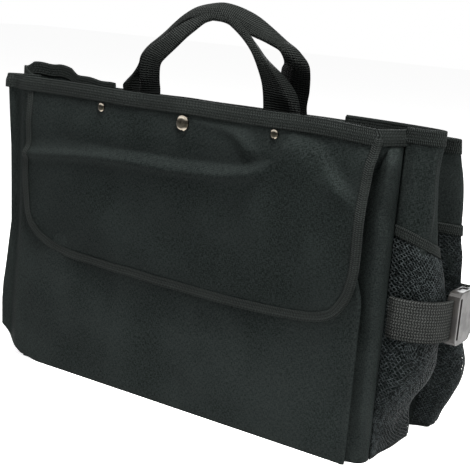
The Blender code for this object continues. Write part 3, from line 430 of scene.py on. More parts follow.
(_, POCKET_DEPTH, _), (PANEL_HALF, panel_back, WALL_TOP) = node_box("front_panel")
(_, board_front, PANEL_FOOT), (_, board_back, _) = node_box("front_board")
(_, _, strap_low), (_, _, strap_high) = node_box("strap_front_right")
(_, _, hook_low), (_, _, hook_high) = node_box("pocket_hook_strip")
CLOTH_WALL = round(panel_back - POCKET_DEPTH, 4)
LOOSE = round(board_front - panel_back, 4)
BOARD_WALL = round(board_back - board_front, 4)
WEBBING_WIDE = round(strap_high - strap_low, 4)
STRAP_Z = (strap_low + strap_high) / 2
HOOK_Z = (hook_low + hook_high) / 2
POCKET_TOP = node_box("front_pocket")[1][2]
MOUTH_HALF = node_box("pocket_mouth_binding")[1][0]
RIM = node_box("front_rim_tape")[1][2]

# Making pieces.

DOWN, FORWARD = (0.0, 0.0, -1.0), (0.0, -1.0, 0.0)


def placed(x, depth, z):
    """Points of the frame from organizer places."""
    x, depth, z = np.broadcast_arrays(x, depth, z)
    return np.stack([x, depth + FACE, z], axis=-1).astype(float)


def pairs(a, b):
    return np.stack(np.broadcast_arrays(a, b), -1)


def climb(value, low, high):
    """0 below low, 1 above high, smooth between."""
    t = np.clip((value - low) / (high - low), 0, 1)
    return t * t * (3 - 2 * t)


def bump(value, centre, width):
    """A bell of height 1 at its centre."""
    return np.exp(-(((value - centre) / width) ** 2))


WAVES = 9


def ripple(a, b, length, seed):
    """Unevenness of cloth from -1 to 1: plane waves near one length, in seeded directions."""
    rng = np.random.default_rng(seed)
    total = 0.0
    for angle, phase, stretch in rng.uniform((0, 0, 0.7), (math.pi, 2 * math.pi, 1.4), (WAVES, 3)):
        along = a * math.cos(angle) + b * math.sin(angle)
        total = total + np.sin(2 * math.pi * along / (length * stretch) + phase)
    return total / math.sqrt(WAVES) / 1.6


def off_line(x, z, points):
    """Distance from each place to a broken line."""
    best = np.full(np.broadcast(x, z).shape, 9.0)
    for (ax, az), (bx, bz) in zip(points[:-1], points[1:]):
        dx, dz = bx - ax, bz - az
        t = np.clip(((x - ax) * dx + (z - az) * dz) / (dx * dx + dz * dz), 0, 1)
        best = np.minimum(best, np.hypot(x - ax - t * dx, z - az - t * dz))
    return best


def unit(ways):
    return ways / np.linalg.norm(ways, axis=-1)[..., None]


def lengths(points):
    """Running length along a path of points."""
    return np.append(0.0, np.cumsum(np.linalg.norm(np.diff(points, axis=0), axis=1)))


def path_across(points):
    """Running length from the first row to each row of a grid, in each column."""
    step = np.linalg.norm(np.diff(points, axis=0), axis=-1)
    return np.vstack([np.zeros((1, points.shape[1])), np.cumsum(step, axis=0)])


def smooth_line(points, count):
    """Even, smooth run of places through control points, as a Catmull-Rom curve."""
    p = np.array(points, float)
    p = np.vstack([2 * p[0] - p[1], p, 2 * p[-1] - p[-2]])
    t = np.linspace(0, len(points) - 1 - 1e-9, count * 4)
    i = t.astype(int)
    f = (t - i)[:, None]
    a, b, c, d = p[i], p[i + 1], p[i + 2], p[i + 3]
    curve = (c - a) * f + (2 * a - 5 * b + 4 * c - d) * f**2 + (3 * b - a - 3 * c + d) * f**3
    line = 0.5 * (2 * b + curve)
    run = lengths(line)
    s = np.linspace(0, run[-1], count)
    return np.stack([np.interp(s, run, line[:, k]) for k in range(line.shape[1])], -1)


def bezier(first, second, third, fourth, t):
    s = 1 - t
    return s**3 * first + 3 * s**2 * t * second + 3 * s * t**2 * third + t**3 * fourth


def skin(name, points, lie, material, wall=0.0, ring=False, keep=None, side=0.0):
    """Mesh of a grid of points, rows by columns, whose pattern runs by lie.

    ring joins the last row to the first, keep says which cells stay, and wall gives it a
    thickness, to both sides or to one.
    """
    rows, columns = points.shape[:2]
    index = np.arange(rows * columns).reshape(rows, columns)
    if ring:
        index = np.vstack([index, index[:1]])
    flat = np.arange(index.size).reshape(index.shape)

    def corners(grid):
        around = [grid[:-1, :-1], grid[1:, :-1], grid[1:, 1:], grid[:-1, 1:]]
        return np.stack(around, -1).reshape(-1, 4)

    faces, places = corners(index), corners(flat)
    if keep is not None:
        faces, places = faces[keep.ravel()], places[keep.ravel()]
    obj = new_piece(name, points, faces, material)
    layer = obj.data.uv_layers.new(name=LIE)
    layer.data.foreach_set("uv", lie.reshape(-1, 2)[places.ravel()].astype(np.float32).ravel())
    if wall:
        thick = obj.modifiers.new("thickness", "SOLIDIFY")
        thick.thickness = wall
        thick.offset = side
    return obj


def close_poles(obj):
    """Merges the points that a pole or a seam brings together."""
    work = bmesh.new()
    work.from_mesh(obj.data)
    bmesh.ops.remove_doubles(work, verts=work.verts, dist=1e-7)
    work.to_mesh(obj.data)
    work.free()


def settle(obj, carrier, nodes):
    """Puts a piece on its body, or, where it lies between two, bakes it in place, and hides the nodes it
    stands for.
    """
    if isinstance(carrier, tuple):
        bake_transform(obj)
    else:
        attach(obj, carrier)
    if nodes:
        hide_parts(*nodes)


TAPE_WALL = 0.0007
TAPE_GAP = 0.0011
TAPE_STEPS = 9
# How far each tape reaches down its cloth.
RIM_TAPE, MOUTH_TAPE, EDGE_TAPE, SIDE_TAPE, NET_TAPE = 0.0145, 0.0110, 0.0088, 0.0135, 0.0100


def tape_profile(width, gap):
    """Section of tape folded over an edge: distance in from the edge, and offset to each side."""
    turn = np.radians(np.linspace(-90, 90, TAPE_STEPS))
    leg = np.linspace(width, gap, TAPE_STEPS)[:-1]
    inward = np.concatenate([leg, gap - gap * np.cos(turn), leg[::-1]])
    straight = np.full(len(leg), gap)
    offset = np.concatenate([-straight, gap * np.sin(turn), straight])
    run = lengths(np.stack([inward, offset], -1))
    return inward, offset, run - run[-1] / 2


def folded_tape(name, carrier, node, top, inward, normal, width, gap, drape=None, proud=0.0):
    """Tape folded over a cloth's edge: top + inward * distance + normal * offset.

    It then moves out by proud, and back by what drape gives for x and z.
    """
    q, off, v = tape_profile(width, gap)
    inward, normal = (np.broadcast_to(way, top.shape)[:, None] for way in (inward, normal))
    points = top[:, None] + inward * q[None, :, None] + normal * off[None, :, None]
    back = drape(points[..., 0], points[..., 2]) if drape else 0.0
    points = points + normal * np.broadcast_to(proud, q.shape)[None, :, None]
    points[..., 1] += back
    # Rows measure from the free edges of the tape, so a seam lies near each.
    v = np.sign(v) * (np.abs(v).max() - np.abs(v)) + 1e-5
    lie = pairs(lengths(top)[:, None], v[None, :])
    tape = skin(name, points, lie, BINDING, TAPE_WALL)
    settle(tape, carrier, (node,))


# Front: pocket, flap and rim.

POCKET_HALF = 0.205
POCKET_WALL = 0.0012
MOUTH_LOW, MOUTH_HIGH = 0.240, 0.254
CORNER_REACH = 0.0022


def rim_height(x):
    """Top of the front rim: level, with a dip where the right seam pulls."""
    dips = 0.0030 * bump(x, 0.212, 0.05) + 0.0009 * bump(x, -0.02, 0.12)
    return 0.3096 - dips + 0.0005 * ripple(x, 0 * x, 0.13, 3)


# How far out the left flank's fold stands, by height.
WING = np.array([
    (0.0, 0.2405), (0.034, 0.242), (0.058, 0.241), (0.082, 0.238), (0.117, 0.2345), (0.142, 0.232),
    (0.185, 0.234), (0.233, 0.2366), (0.260, 0.2395), (0.296, 0.243), (0.311, 0.245),
])
# How high the left flank's hem is drawn up, by its distance from the middle.
WING_HEM = np.array([(0.203, 0.0), (0.214, 0.0060), (0.224, 0.0105), (0.235, 0.0225), (0.245, 0.029)])
WING_START = POCKET_HALF - 0.0085
WING_TURN = 0.55


def wing(t, z):
    """Left flank of the pocket: from its corner out to a slack fold, then back to the seam."""
    edge = np.interp(z, WING[:, 0], WING[:, 1])
    out, back = np.clip(t / WING_TURN, 0, 1), np.clip((t - WING_TURN) / (1 - WING_TURN), 0, 1)
    x_out = bezier(WING_START, POCKET_HALF + 0.006, edge - 0.006, edge, out)
    belly = 0.0045 * np.sin(math.pi * np.clip((out - 0.3) / 0.62, 0, 1)) ** 2
    y_out = bezier(0.0, -0.0025, 0.0030, 0.0060, out) + belly
    x_back = bezier(edge, edge + 0.0015, edge - 0.004, PANEL_HALF, back)
    y_back = bezier(0.0060, 0.0085, 0.0180, POCKET_DEPTH - 0.002, back)
    first = t <= WING_TURN
    return -np.where(first, x_out, x_back), np.where(first, y_out, y_back)


def pocket_plan():
    """Plan of the pocket without its wing, from its left seam to its right: x and depth."""
    corner = np.array((POCKET_HALF, 0.0))
    along = unit(np.array((PANEL_HALF - POCKET_HALF, POCKET_DEPTH)))
    t = np.linspace(0, 1, 9)[:, None]
    start, end = corner - (CORNER_REACH, 0), corner + CORNER_REACH * along
    bend = start * (1 - t) ** 2 + corner * 2 * t * (1 - t) + end * t**2
    last = corner + along * (POCKET_DEPTH - 0.001) / along[1]
    front = np.linspace(0, POCKET_HALF - CORNER_REACH, 60)[:-1]
    flank = end + (last - end) * np.linspace(0, 1, 26)[1:, None]
    right = np.vstack([np.stack([front, 0 * front], -1), bend, flank])
    return np.vstack([right[:0:-1] * (-1, 1), right])


def winged_plan(z):
    """The pocket's plan with the wing at each height: x and depth, by plan place and height."""
    plan = pocket_plan()
    flank = np.flatnonzero(plan[:, 0] < -WING_START)
    z = np.broadcast_to(z, (len(plan), np.shape(z)[-1]))
    x, depth = (np.repeat(plan[:, k, None], z.shape[1], axis=1) for k in (0, 1))
    t = 1 - np.arange(len(flank))[:, None] / len(flank)
    x[flank], depth[flank] = wing(t, z[flank])
    return x, depth


# The top and the right side of the place where the flap stands proud of the pocket.
PLATEAU_TOP = np.array([
    (-0.24, 0.235), (-0.194, 0.237), (-0.154, 0.241), (-0.116, 0.245), (-0.053, 0.248),
    (0.0, 0.248), (0.056, 0.251), (0.085, 0.256), (0.102, 0.263), (0.114, 0.278), (0.120, 0.300),
    (0.124, 0.330), (0.25, 0.33),
])
PLATEAU_SIDE = [
    (0.118, 0.306), (0.126, 0.298), (0.143, 0.286), (0.161, 0.267), (0.176, 0.253),
    (0.190, 0.243), (0.215, 0.226),
]
# Lines of smaller forms: the hook round the right rivet, and a low rise at the upper left.
FLAP_HOOK = [(0.018, 0.293), (0.045, 0.291), (0.063, 0.285), (0.078, 0.272)]
FLAP_RISE = [(-0.19, 0.262), (-0.13, 0.268)]


def plateau(x, z):
    """How far the flap stands proud: 1 where it hangs over the pocket's mouth, 0 at the rim."""
    top = np.interp(x, PLATEAU_TOP[:, 0], PLATEAU_TOP[:, 1])
    soft = 0.0055 + 0.0075 * climb(-x, 0.06, 0.18)
    (ax, az), (bx, bz) = PLATEAU_SIDE[1], PLATEAU_SIDE[-1]
    nx, nz = -(bz - az), bx - ax
    across = ((x - ax) * nx + (z - az) * nz) / math.hypot(nx, nz) + 0.006 * bump(x, 0.155, 0.03)
    return climb(top - z, -soft, soft) * climb(-across, -0.008, 0.008)


def flap_depth(x, z):
    """Depth of the flap: sewn flat at the rim, proud over the mouth, easing in to its edge."""
    strip = -0.0030 + climb(z, 0.268, FLAP_TOP) * 0.0021
    edge = climb(x, 0.168, 0.206)
    proud = 0.0080 - 0.0038 * climb(-x, 0.03, 0.19)
    stand = proud * plateau(x, z) * (1 - edge) * (1 - 0.6 * climb(-x, 0.180, 0.205))
    stand = stand + 0.0045 * edge * climb(FLAP_TOP - z, 0.004, 0.03)
    fold = 0.0050 * bump(off_line(x, z, PLATEAU_SIDE), 0, 0.0062) * (1 - edge)
    above = z - np.interp(x, PLATEAU_TOP[:, 0], PLATEAU_TOP[:, 1])
    crest = 0.0046 * bump(above, -0.006, 0.0047) * (1 - climb(x, 0.085, 0.11))
    hook = 0.0040 * bump(off_line(x, z, FLAP_HOOK), 0, 0.0055)
    rise = 0.0012 * bump(off_line(x, z, FLAP_RISE), 0, 0.014)
    curl = 0.0016 * climb(np.abs(x), 0.17, 0.204) * climb(0.25 - z, 0, 0.06)
    out = (stand + fold + crest + hook) * climb(0.2945 - z, 0.0, 0.016) + rise + curl
    hang = 0.0038 * climb(0.235 - z, 0.0, 0.11) + 0.0026 * climb(0.165 - z, 0.0, 0.045)
    uneven = 0.0019 * ripple(x, z, 0.11, 5) + 0.0007 * ripple(x, z, 0.045, 6)
    return strip - out + hang * (1 - 0.6 * edge) + uneven * climb(0.29 - z, 0, 0.04)


def pocket_depth(x, z):
    """Depth of the pocket's face: nearly flat, full near the floor, slack at the left corner."""
    full = 0.0016 * np.sin(math.pi * np.clip(z / 0.24, 0, 1)) * (1 - (x / 0.21) ** 2)
    slack = bump(off_line(x, z, [(-0.19, 0.03), (-0.15, 0.11), (-0.13, 0.2)]), 0, 0.022)
    uneven = 0.0017 * ripple(x, z, 0.12, 8) + 0.0006 * ripple(x, z, 0.05, 9)
    # The cloth lies flat behind the hook strip.
    flat = climb(0.068 - np.abs(x), 0, 0.020) * climb(0.026 - np.abs(z - HOOK_Z), 0, 0.014)
    return (uneven * climb(z, 0, 0.03) - full - 0.0012 * slack) * (1 - flat) + 0.0004 * flat


FLAP_TOP = 0.2995
# Height above which the flap is as wide as its sides, and its size along the cloth.
FLAP_WIDE = 0.190
HINGE = ("front", "flap", (0, 0, 0.282), (0, 0, 0.268))
# The flap's outline in millimetres, x and z, from its top left, down and round to its top right.
FLAP_LINE = [
    (-207.5, 299.5), (-206.0, 283), (-205.0, 265), (-204.6, 250), (-204.6, 233), (-204.8, 212),
    (-203.8, 190), (-200.5, 168), (-193.0, 152), (-177, 138.5), (-147, 129), (-91, 126),
    (-30, 124.6), (37, 123), (100, 123.4), (149, 125.5), (180, 134), (196, 153), (202.6, 174),
    (204.3, 190), (205, 220), (205.3, 243), (206.9, 273), (209.6, 296), (209.9, 299.5),
]


def flap_edge():
    """Outline of the flap, and the way in from it."""
    line = smooth_line(np.array(FLAP_LINE) / 1000, 300)
    step = unit(np.gradient(line, axis=0))
    return line, np.stack([-step[:, 1], step[:, 0]], -1)


def flap_side(line, sign, z):
    """The flap's half width on one side at each height, above the rounding of its corners."""
    part = line[(line[:, 0] * sign > 0) & (line[:, 1] >= FLAP_WIDE - 0.002)]
    part = part[np.argsort(part[:, 1])]
    return np.interp(np.maximum(z, FLAP_WIDE), part[:, 1], part[:, 0] * sign)


def make_flap():
    """Grid of the flap: each column runs from its foot up to the rim, each row side to side."""
    line, _ = flap_edge()
    share = np.sin(math.pi / 2 * np.sin(math.pi / 2 * np.linspace(-1, 1, 181)))
    left = share < 0
    low = line[line[:, 1] <= FLAP_WIDE + 0.002]
    half = np.where(left, flap_side(line, -1, FLAP_WIDE), flap_side(line, 1, FLAP_WIDE))
    foot_x = share * half
    foot = np.interp(foot_x, low[:, 0], low[:, 1]) + 0.0006
    z = foot[:, None] + np.linspace(0, 1, 110)[None, :] * (FLAP_TOP - foot)[:, None]
    x = share[:, None] * np.where(left[:, None], flap_side(line, -1, z), flap_side(line, 1, z))
    points = placed(x, flap_depth(x, z), z)
    flap = skin("flap_cloth", points, np.stack([x, z], -1), FLAP_CLOTH, CLOTH_WALL)
    settle(flap, HINGE, ("flap", "flap_top_strip"))


def make_flap_tape():
    """Tape round the flap, from one end of its outline to the other."""
    line, inward = flap_edge()
    top = placed(line[:, 0], 0.0, line[:, 1])
    way = np.stack([inward[:, 0], 0 * inward[:, 0], inward[:, 1]], -1)
    folded_tape("flap_edge_tape", HINGE, "flap_binding", top, way, FORWARD, EDGE_TAPE, TAPE_GAP, flap_depth)


def right_flank(x, back, z):
    """What the folds of the right flank add to x and take off the depth."""
    flank = 1 - climb(POCKET_HALF + 0.0005 - x, -0.0012, 0.0)
    puff = np.sin(math.pi * np.clip((back - 0.009) / (POCKET_DEPTH - 0.010), 0, 1)) ** 0.7
    lump = 0.0060 * flank * puff * (1 - 0.85 * bump(z, 0.234, 0.012)) * climb(0.300 - z, 0, 0.02)
    lump = lump * (0.75 + 0.25 * ripple(z, 0 * z, 0.09, 14))
    valley = flank * bump(back, 0.0068, 0.0046) * climb(0.285 - z, 0, 0.04)
    valley = valley * (0.0130 + 0.010 * climb(z, 0.12, 0.18)) * (0.6 + 0.4 * climb(z, 0.02, 0.16))
    hump = flank * climb(back, 0.009, 0.0145) * climb(0.0300 - back, 0, 0.007)
    hump = hump * (0.5 * climb(z, 0.012, 0.05) + 0.5 * climb(z, 0.10, 0.17))
    hump = hump * climb(0.300 - z, 0, 0.022)
    # Under the flap the right corner is tucked in, which leaves a dark gap beside the flap.
    tuck = climb(x, 0.180, 0.2035) * (1 - climb(back, 0.009, 0.0145))
    tuck = tuck * climb(z, 0.150, 0.185) * climb(0.294 - z, 0, 0.02)
    return lump - valley + 0.0026 * hump - 0.0090 * tuck, 0.4 * lump + 0.0120 * hump - 0.0015 * tuck


def make_pocket():
    """Pocket cloth, from seam to seam round both corners, its mouth left open under the flap."""
    plan = pocket_plan()
    below, above = np.linspace(0, MOUTH_LOW, 76), np.linspace(MOUTH_HIGH, POCKET_TOP, 20)
    v = np.concatenate([below, above])
    x, back = winged_plan(v[None, :])
    z = v[None, :] + 0 * x
    on_face = climb(POCKET_HALF - CORNER_REACH - np.abs(x), 0.0, 0.010)
    piping = 0.0007 * bump(x, POCKET_HALF - 0.0022, 0.0011)
    out, forward = right_flank(x, back, z)
    depth = back + on_face * pocket_depth(x, z) - piping - forward
    x = x + out
    drawn = np.interp(-x, WING_HEM[:, 0], WING_HEM[:, 1]) * climb(0.027 - back, 0, 0.012)
    corner = 0.004 * climb(-x, 0.175, 0.205) * climb(0.05 - z, 0, 0.05)
    lift = drawn * np.clip(1 - z / MOUTH_LOW, 0, 1) + corner
    top = np.minimum(rim_height(x) - 0.001, POCKET_TOP)
    share = (z - MOUTH_HIGH) / (POCKET_TOP - MOUTH_HIGH)
    z = np.where(z > 0.25, MOUTH_HIGH + share * (top - MOUTH_HIGH), z + lift)
    beside_mouth = (np.abs(plan[:-1, 0] + plan[1:, 0]) / 2 > MOUTH_HALF)[:, None]
    keep = beside_mouth | (np.arange(len(v) - 1) != len(below) - 1)[None, :]
    points = placed(x, depth, z)
    along = path_across(points)
    lie = pairs(along - along[len(plan) // 2], v[None, :])
    pocket = skin("pocket_cloth", points, lie, CLOTH, POCKET_WALL, keep=keep, side=-1.0)
    settle(pocket, "front", ("front_pocket",))


def make_pocket_base():
    """Cloth floor of the pocket, from its front to the front wall, just off the ground."""
    left, corner, right = -0.2015, 0.2015, 0.2105
    x, share = np.meshgrid(np.linspace(left, right, 60), np.linspace(0, 1, 12), indexing="ij")
    front = np.interp(x, [left, corner, right], [0.0016, 0.0016, 0.0200])
    depth = front + share * (POCKET_DEPTH - 0.0004 - front)
    z = 0.0014 + 0.0004 * (1 + ripple(x, depth, 0.05, 17))
    base = skin("pocket_base_cloth", placed(x, depth, z), pairs(x, depth), CLOTH, CLOTH_WALL)
    settle(base, "front", ())


def make_rim_band():
    """Tape over the top of the pocket, its wing and the flap's sewn edge."""
    plan = np.concatenate(winged_plan([[0.305]]), axis=1)
    plan = np.vstack([plan, plan[-1] + (0.0016, 0.0036)])
    x, depth = plan.T
    top = placed(x, depth + 0.0004, rim_height(x) + 0.0008)
    step = unit(np.gradient(plan, axis=0))
    out = np.stack([step[:, 1], -step[:, 0], 0 * x], -1)
    folded_tape(
        "front_rim_band", "front", "front_rim_tape", top, DOWN, out, RIM_TAPE, TAPE_GAP,
        drape=lambda x, z: 0.0004 * ripple(x, z, 0.05, 12),
        # The band's front leg stands out over the flap's sewn top.
        proud=0.0017 * climb(np.arange(3 * TAPE_STEPS - 2), 2 * TAPE_STEPS - 2, 2 * TAPE_STEPS + 2),
    )


def make_mouth_tape():
    """Tape over the lower lip of the pocket's mouth."""
    top = placed(np.linspace(-MOUTH_HALF, MOUTH_HALF, 90), 0.0007, MOUTH_LOW + 0.0012)
    folded_tape(
        "mouth_tape", "front", "pocket_mouth_binding", top, DOWN, FORWARD, MOUTH_TAPE, TAPE_GAP,
        drape=pocket_depth,
    )


# Front and rear wall.

REAR_LEAN = math.radians(17)
REAR_DEPTH = 0.168
REAR_PIVOT_Z = 0.0063
REAR_FOOT, REAR_TOP = 0.0006, 0.3065


def front_place(behind, up):
    """Depth and height of a place on the upright front wall."""
    return POCKET_DEPTH + behind, up


def rear_place(behind, up):
    """Depth and height of a place on the leaning rear wall."""
    depth = REAR_DEPTH + behind * math.cos(REAR_LEAN) - up * math.sin(REAR_LEAN)
    return depth, REAR_PIVOT_Z + behind * math.sin(REAR_LEAN) + up * math.cos(REAR_LEAN)


def flat_panel(wall, kind, place, behind, low, high, seed):
    """Sheet on one face of a wall's board, with a faint unevenness."""
    x, up = np.meshgrid(np.linspace(-PANEL_HALF, PANEL_HALF, 70), np.linspace(low, high, 50), indexing="ij")
    depth, z = place(behind, up)
    points = placed(x, depth + 0.0002 * ripple(x, up, 0.09, seed), z)
    slot, material = {"panel": ("cloth", CLOTH), "lining": ("lining", LINING)}[kind]
    panel = skin(f"{wall}_{kind}_cloth", points, pairs(x, up), material, CLOTH_WALL)
    settle(panel, {"front": "front", "rear": "rear_wall"}[wall], (f"{wall}_{kind}",))


def make_walls():
    """Cloth on both faces of the two boards, and tape over their tops."""
    near, far = CLOTH_WALL / 2, 1.5 * CLOTH_WALL + BOARD_WALL + 2 * LOOSE
    over_front, over_rear = 0.0031, 0.0035
    flat_panel("front", "panel", front_place, near, 0.0, WALL_TOP, 21)
    flat_panel("front", "lining", front_place, far, PANEL_FOOT, WALL_TOP, 22)
    x = np.linspace(-0.2125, 0.2125, 90)
    top = placed(x, POCKET_DEPTH + BOARD_WALL, WALL_TOP + 0.0016 + 0.0004 * ripple(x, 0 * x, 0.07, 23))
    folded_tape("front_wall_band", "front", "front_wall_tape", top, DOWN, FORWARD, RIM_TAPE, over_front)
    flat_panel("rear", "lining", rear_place, near, REAR_FOOT, REAR_TOP, 31)
    flat_panel("rear", "panel", rear_place, far, REAR_FOOT, REAR_TOP, 32)
    x = np.linspace(-PANEL_HALF, PANEL_HALF, 90)
    depth, z = rear_place(BOARD_WALL, REAR_TOP + 0.0025 + 0.0004 * ripple(x, 0 * x, 0.08, 33))
    way = (0.0, math.sin(REAR_LEAN), -math.cos(REAR_LEAN))
    out = (0.0, -math.cos(REAR_LEAN), -math.sin(REAR_LEAN))
    top = placed(x, depth, z)
    folded_tape("rear_rim_band", "rear_wall", "rear_rim_tape", top, way, out, RIM_TAPE, over_rear)


# Side walls.

FOLD_SHARE = 0.42
# A side wall keeps its plan over this much of its height, under the rim.
STRAIGHT = 0.018
# The inner fold leans inwards from this height.
FOLD_LEAN_Z = 0.134


def through(values, z):
    """A smooth curve through a value at the floor, at the strap and at the rim."""
    low, middle, high = 0.0, STRAP_Z, RIM
    a = (z - middle) * (z - high) / ((low - middle) * (low - high))
    b = (z - low) * (z - high) / ((middle - low) * (middle - high))
    c = (z - low) * (z - middle) / ((high - low) * (high - middle))
    return a * values[0] + b * values[1] + c * values[2]


def near_fold(z):
    return through((0.220, 0.256, 0.250), z), through((0.104, 0.062, 0.038), z)


def inner_fold(z):
    share = np.clip((z - FOLD_LEAN_Z) / (RIM - FOLD_LEAN_Z), 0, 1)
    return 0.190 + (0.134 - 0.190) * share, through((0.126, 0.090, 0.060), z)


def folded_path(u, seam, fold, inner):
    """Plan of half a side wall: seam to outer fold, rounded, then in to the inner fold."""
    (seam_x, seam_y), (fold_x, fold_y), (inner_x, inner_y) = seam, fold, inner
    out = np.clip(u / FOLD_SHARE, 0, 1)
    back = np.clip((u - FOLD_SHARE) / (1 - FOLD_SHARE), 0, 1)
    x_out = bezier(seam_x, seam_x + (fold_x - seam_x) * 0.8, fold_x, fold_x, out)
    y_out = bezier(seam_y, seam_y, fold_y - (fold_y - seam_y) * 0.6, fold_y, out)
    x_back = bezier(fold_x, fold_x, inner_x + (fold_x - inner_x) * 0.4, inner_x, back)
    y_back = bezier(fold_y, fold_y + (inner_y - fold_y) * 0.45, inner_y, inner_y, back)
    outer = u <= FOLD_SHARE
    return np.where(outer, x_out, x_back), np.where(outer, y_out, y_back)


def near_plan(u, z):
    level = np.minimum(z, RIM - STRAIGHT)
    slim = 0.0115 * climb(level, 0.150, 0.215) * (1 - climb(level, 0.255, 0.318))
    slim = slim + 0.012 * bump(level, 0.040, 0.028)
    fold_x, fold_y = near_fold(level)
    inner_x, inner_y = inner_fold(level)
    seam = (PANEL_HALF + 0.0008, POCKET_DEPTH - 0.0014)
    return folded_path(u, seam, (fold_x - slim, fold_y), (inner_x, inner_y - 0.0009))


def far_plan(u, z):
    level = np.minimum(z, REAR_TOP * math.cos(REAR_LEAN) - STRAIGHT)
    seam_y = REAR_DEPTH + BOARD_WALL - (level - REAR_PIVOT_Z) * math.tan(REAR_LEAN)
    full = 0.013 * bump(level, 0.068, 0.042) + 0.006 * climb(level, 0.20, 0.28)
    fold = (through((0.225, 0.250, 0.236), level) + full, through((0.150, 0.116, 0.074), level))
    inner_x, inner_y = inner_fold(level)
    x, y = folded_path(u, (PANEL_HALF + 0.00075, seam_y), fold, (inner_x, inner_y + 0.0085))
    return x, y - (z - level) * math.tan(REAR_LEAN)


# The two halves of a side wall. turn says which way is out, and belly and off belong to the net.
NEAR = SimpleNamespace(
    name="front", plan=near_plan, turn=1, top=POCKET_TOP, lean=0.0, seed=41, belly=0.0072, off=0.0020
)
FAR = SimpleNamespace(
    name="rear", plan=far_plan, turn=-1, top=REAR_PIVOT_Z + REAR_TOP * math.cos(REAR_LEAN),
    lean=REAR_LEAN, seed=47, belly=0.0024, off=0.0012,
)
WORD = {-1: "left", 1: "right"}


def plan_normal(half, u, z, step=0.002):
    x0, y0 = half.plan(np.maximum(u - step, 0), z)
    x1, y1 = half.plan(np.minimum(u + step, 1), z)
    dx, dy = x1 - x0, y1 - y0
    length = np.hypot(dx, dy)
    return half.turn * dy / length, half.turn * -dx / length


def outset(half, u, z, distance):
    """Place on a side wall, moved out by a distance."""
    x, y = half.plan(u, z)
    nx, ny = plan_normal(half, u, z)
    return x + nx * distance, y + ny * distance


def way_out(half, side, u, z):
    nx, ny = plan_normal(half, u, z)
    return np.stack([side * nx, ny, 0 * nx], -1)


def carrier_of(half, side):
    """The rear half rides its wall. The front half gets the front and the rear base with two places, and
    stays where it is built.
    """
    if half is FAR:
        return "rear_wall"
    start, end = (side * 0.2560, 0.062 + FACE, STRAP_Z), (side * 0.2000, 0.104 + FACE, STRAP_Z)
    return "front", "rear_base", start, end


def side_puff(half, u, z):
    """Fullness of the cloth between its seam and folds, with soft creases."""
    outer = np.sin(math.pi * np.clip(u / FOLD_SHARE, 0, 1))
    crease = 0.0013 * ripple(u * 0.24, z, 0.06, half.seed) * climb(u, 0.0, 0.1) * climb(1 - u, 0, 0.1)
    upright = 0.0022 * bump(u, 0.27, 0.05) * climb(z, 0.20, 0.24)
    return (0.0012 * outer * climb(z, 0.0, 0.03) + upright) * climb(0.30 - z, 0, 0.03) + crease


# How much the slack top of the left front half is pushed up, by distance from the middle.
CRUMPLE = np.array([
    (0.140, 0.0), (0.186, 0.003), (0.192, 0.0037), (0.199, 0.0088), (0.214, 0.0125),
    (0.244, 0.0125), (0.252, 0.006),
])


def crumple(half, side, u, x, z):
    """Rise of the left front half's top over its fold, which dies out inwards and down."""
    if side > 0 or half is FAR:
        return 0 * z
    rise = climb(u, 0.03, FOLD_SHARE * 0.9) * np.interp(x, CRUMPLE[:, 0], CRUMPLE[:, 1])
    fine = 0.0016 * ripple(x, 0 * x, 0.030, 52) * climb(u, 0.1, 0.4)
    return (rise + fine) * climb(z, 0.22, 0.31)


def make_side(half, side):
    """Half a side wall, plan(u, z) moved out by its fullness, and the tape over its top."""
    u, v = np.meshgrid(np.linspace(0, 1, 90), np.linspace(0, 1, 80), indexing="ij")
    z = v * half.top
    x, y = outset(half, u, z, side_puff(half, u, z))
    points = placed(side * x, y, z + crumple(half, side, u, x, z))
    along = path_across(points)
    word, carrier = WORD[side], carrier_of(half, side)
    cloth = skin(f"side_cloth_{half.name}_{word}", points, pairs(along, z), CLOTH, CLOTH_WALL)
    settle(cloth, carrier, (f"side_{half.name}_{word}",))
    u = np.linspace(0.0, 0.995, 90)
    top = np.full_like(u, half.top + 0.0012)
    x, y = half.plan(u, top)
    path = placed(side * x, y, top + crumple(half, side, u, x, top))
    folded_tape(
        f"side_band_{half.name}_{word}", carrier, f"side_{half.name}_tape_{word}", path,
        (0.0, math.tan(half.lean), -1.0), way_out(half, side, u, top), SIDE_TAPE, 0.0010,
    )


# Nets.

NET_FOOT = 0.004
# Width of a mesh, its height in widths, and the length of thread between two points.
NET_PITCH, NET_TALL, NET_STEP = 0.0037, 1.15, 0.0009
# Height of a net, for the places where it is pulled about.
NET_HEIGHT = 0.19
THREAD_RADIUS = 0.00050
THREAD_CORNERS = 4
NET_TAPE_OFF = 0.0022
NET_TAPE_WALL = 0.0011


def net_place(half, u, v, tops, span):
    """Place on a net: along the side wall, up from its foot, and how far it stands off."""
    along = span[0] + u * (span[1] - span[0])
    top = tops[0] + (tops[1] - tops[0]) * u
    z = NET_FOOT + v * (top - NET_TAPE - 0.0005 - NET_FOOT)
    belly = half.belly * np.sin(math.pi * u) * np.sin(math.pi * v)
    near_strap = climb(np.abs(z - STRAP_Z) / 0.038, 0.5, 1.5)
    return along, z, half.off + (belly + 0.0006 * ripple(u * 0.13, z, 0.03, 61)) * near_strap


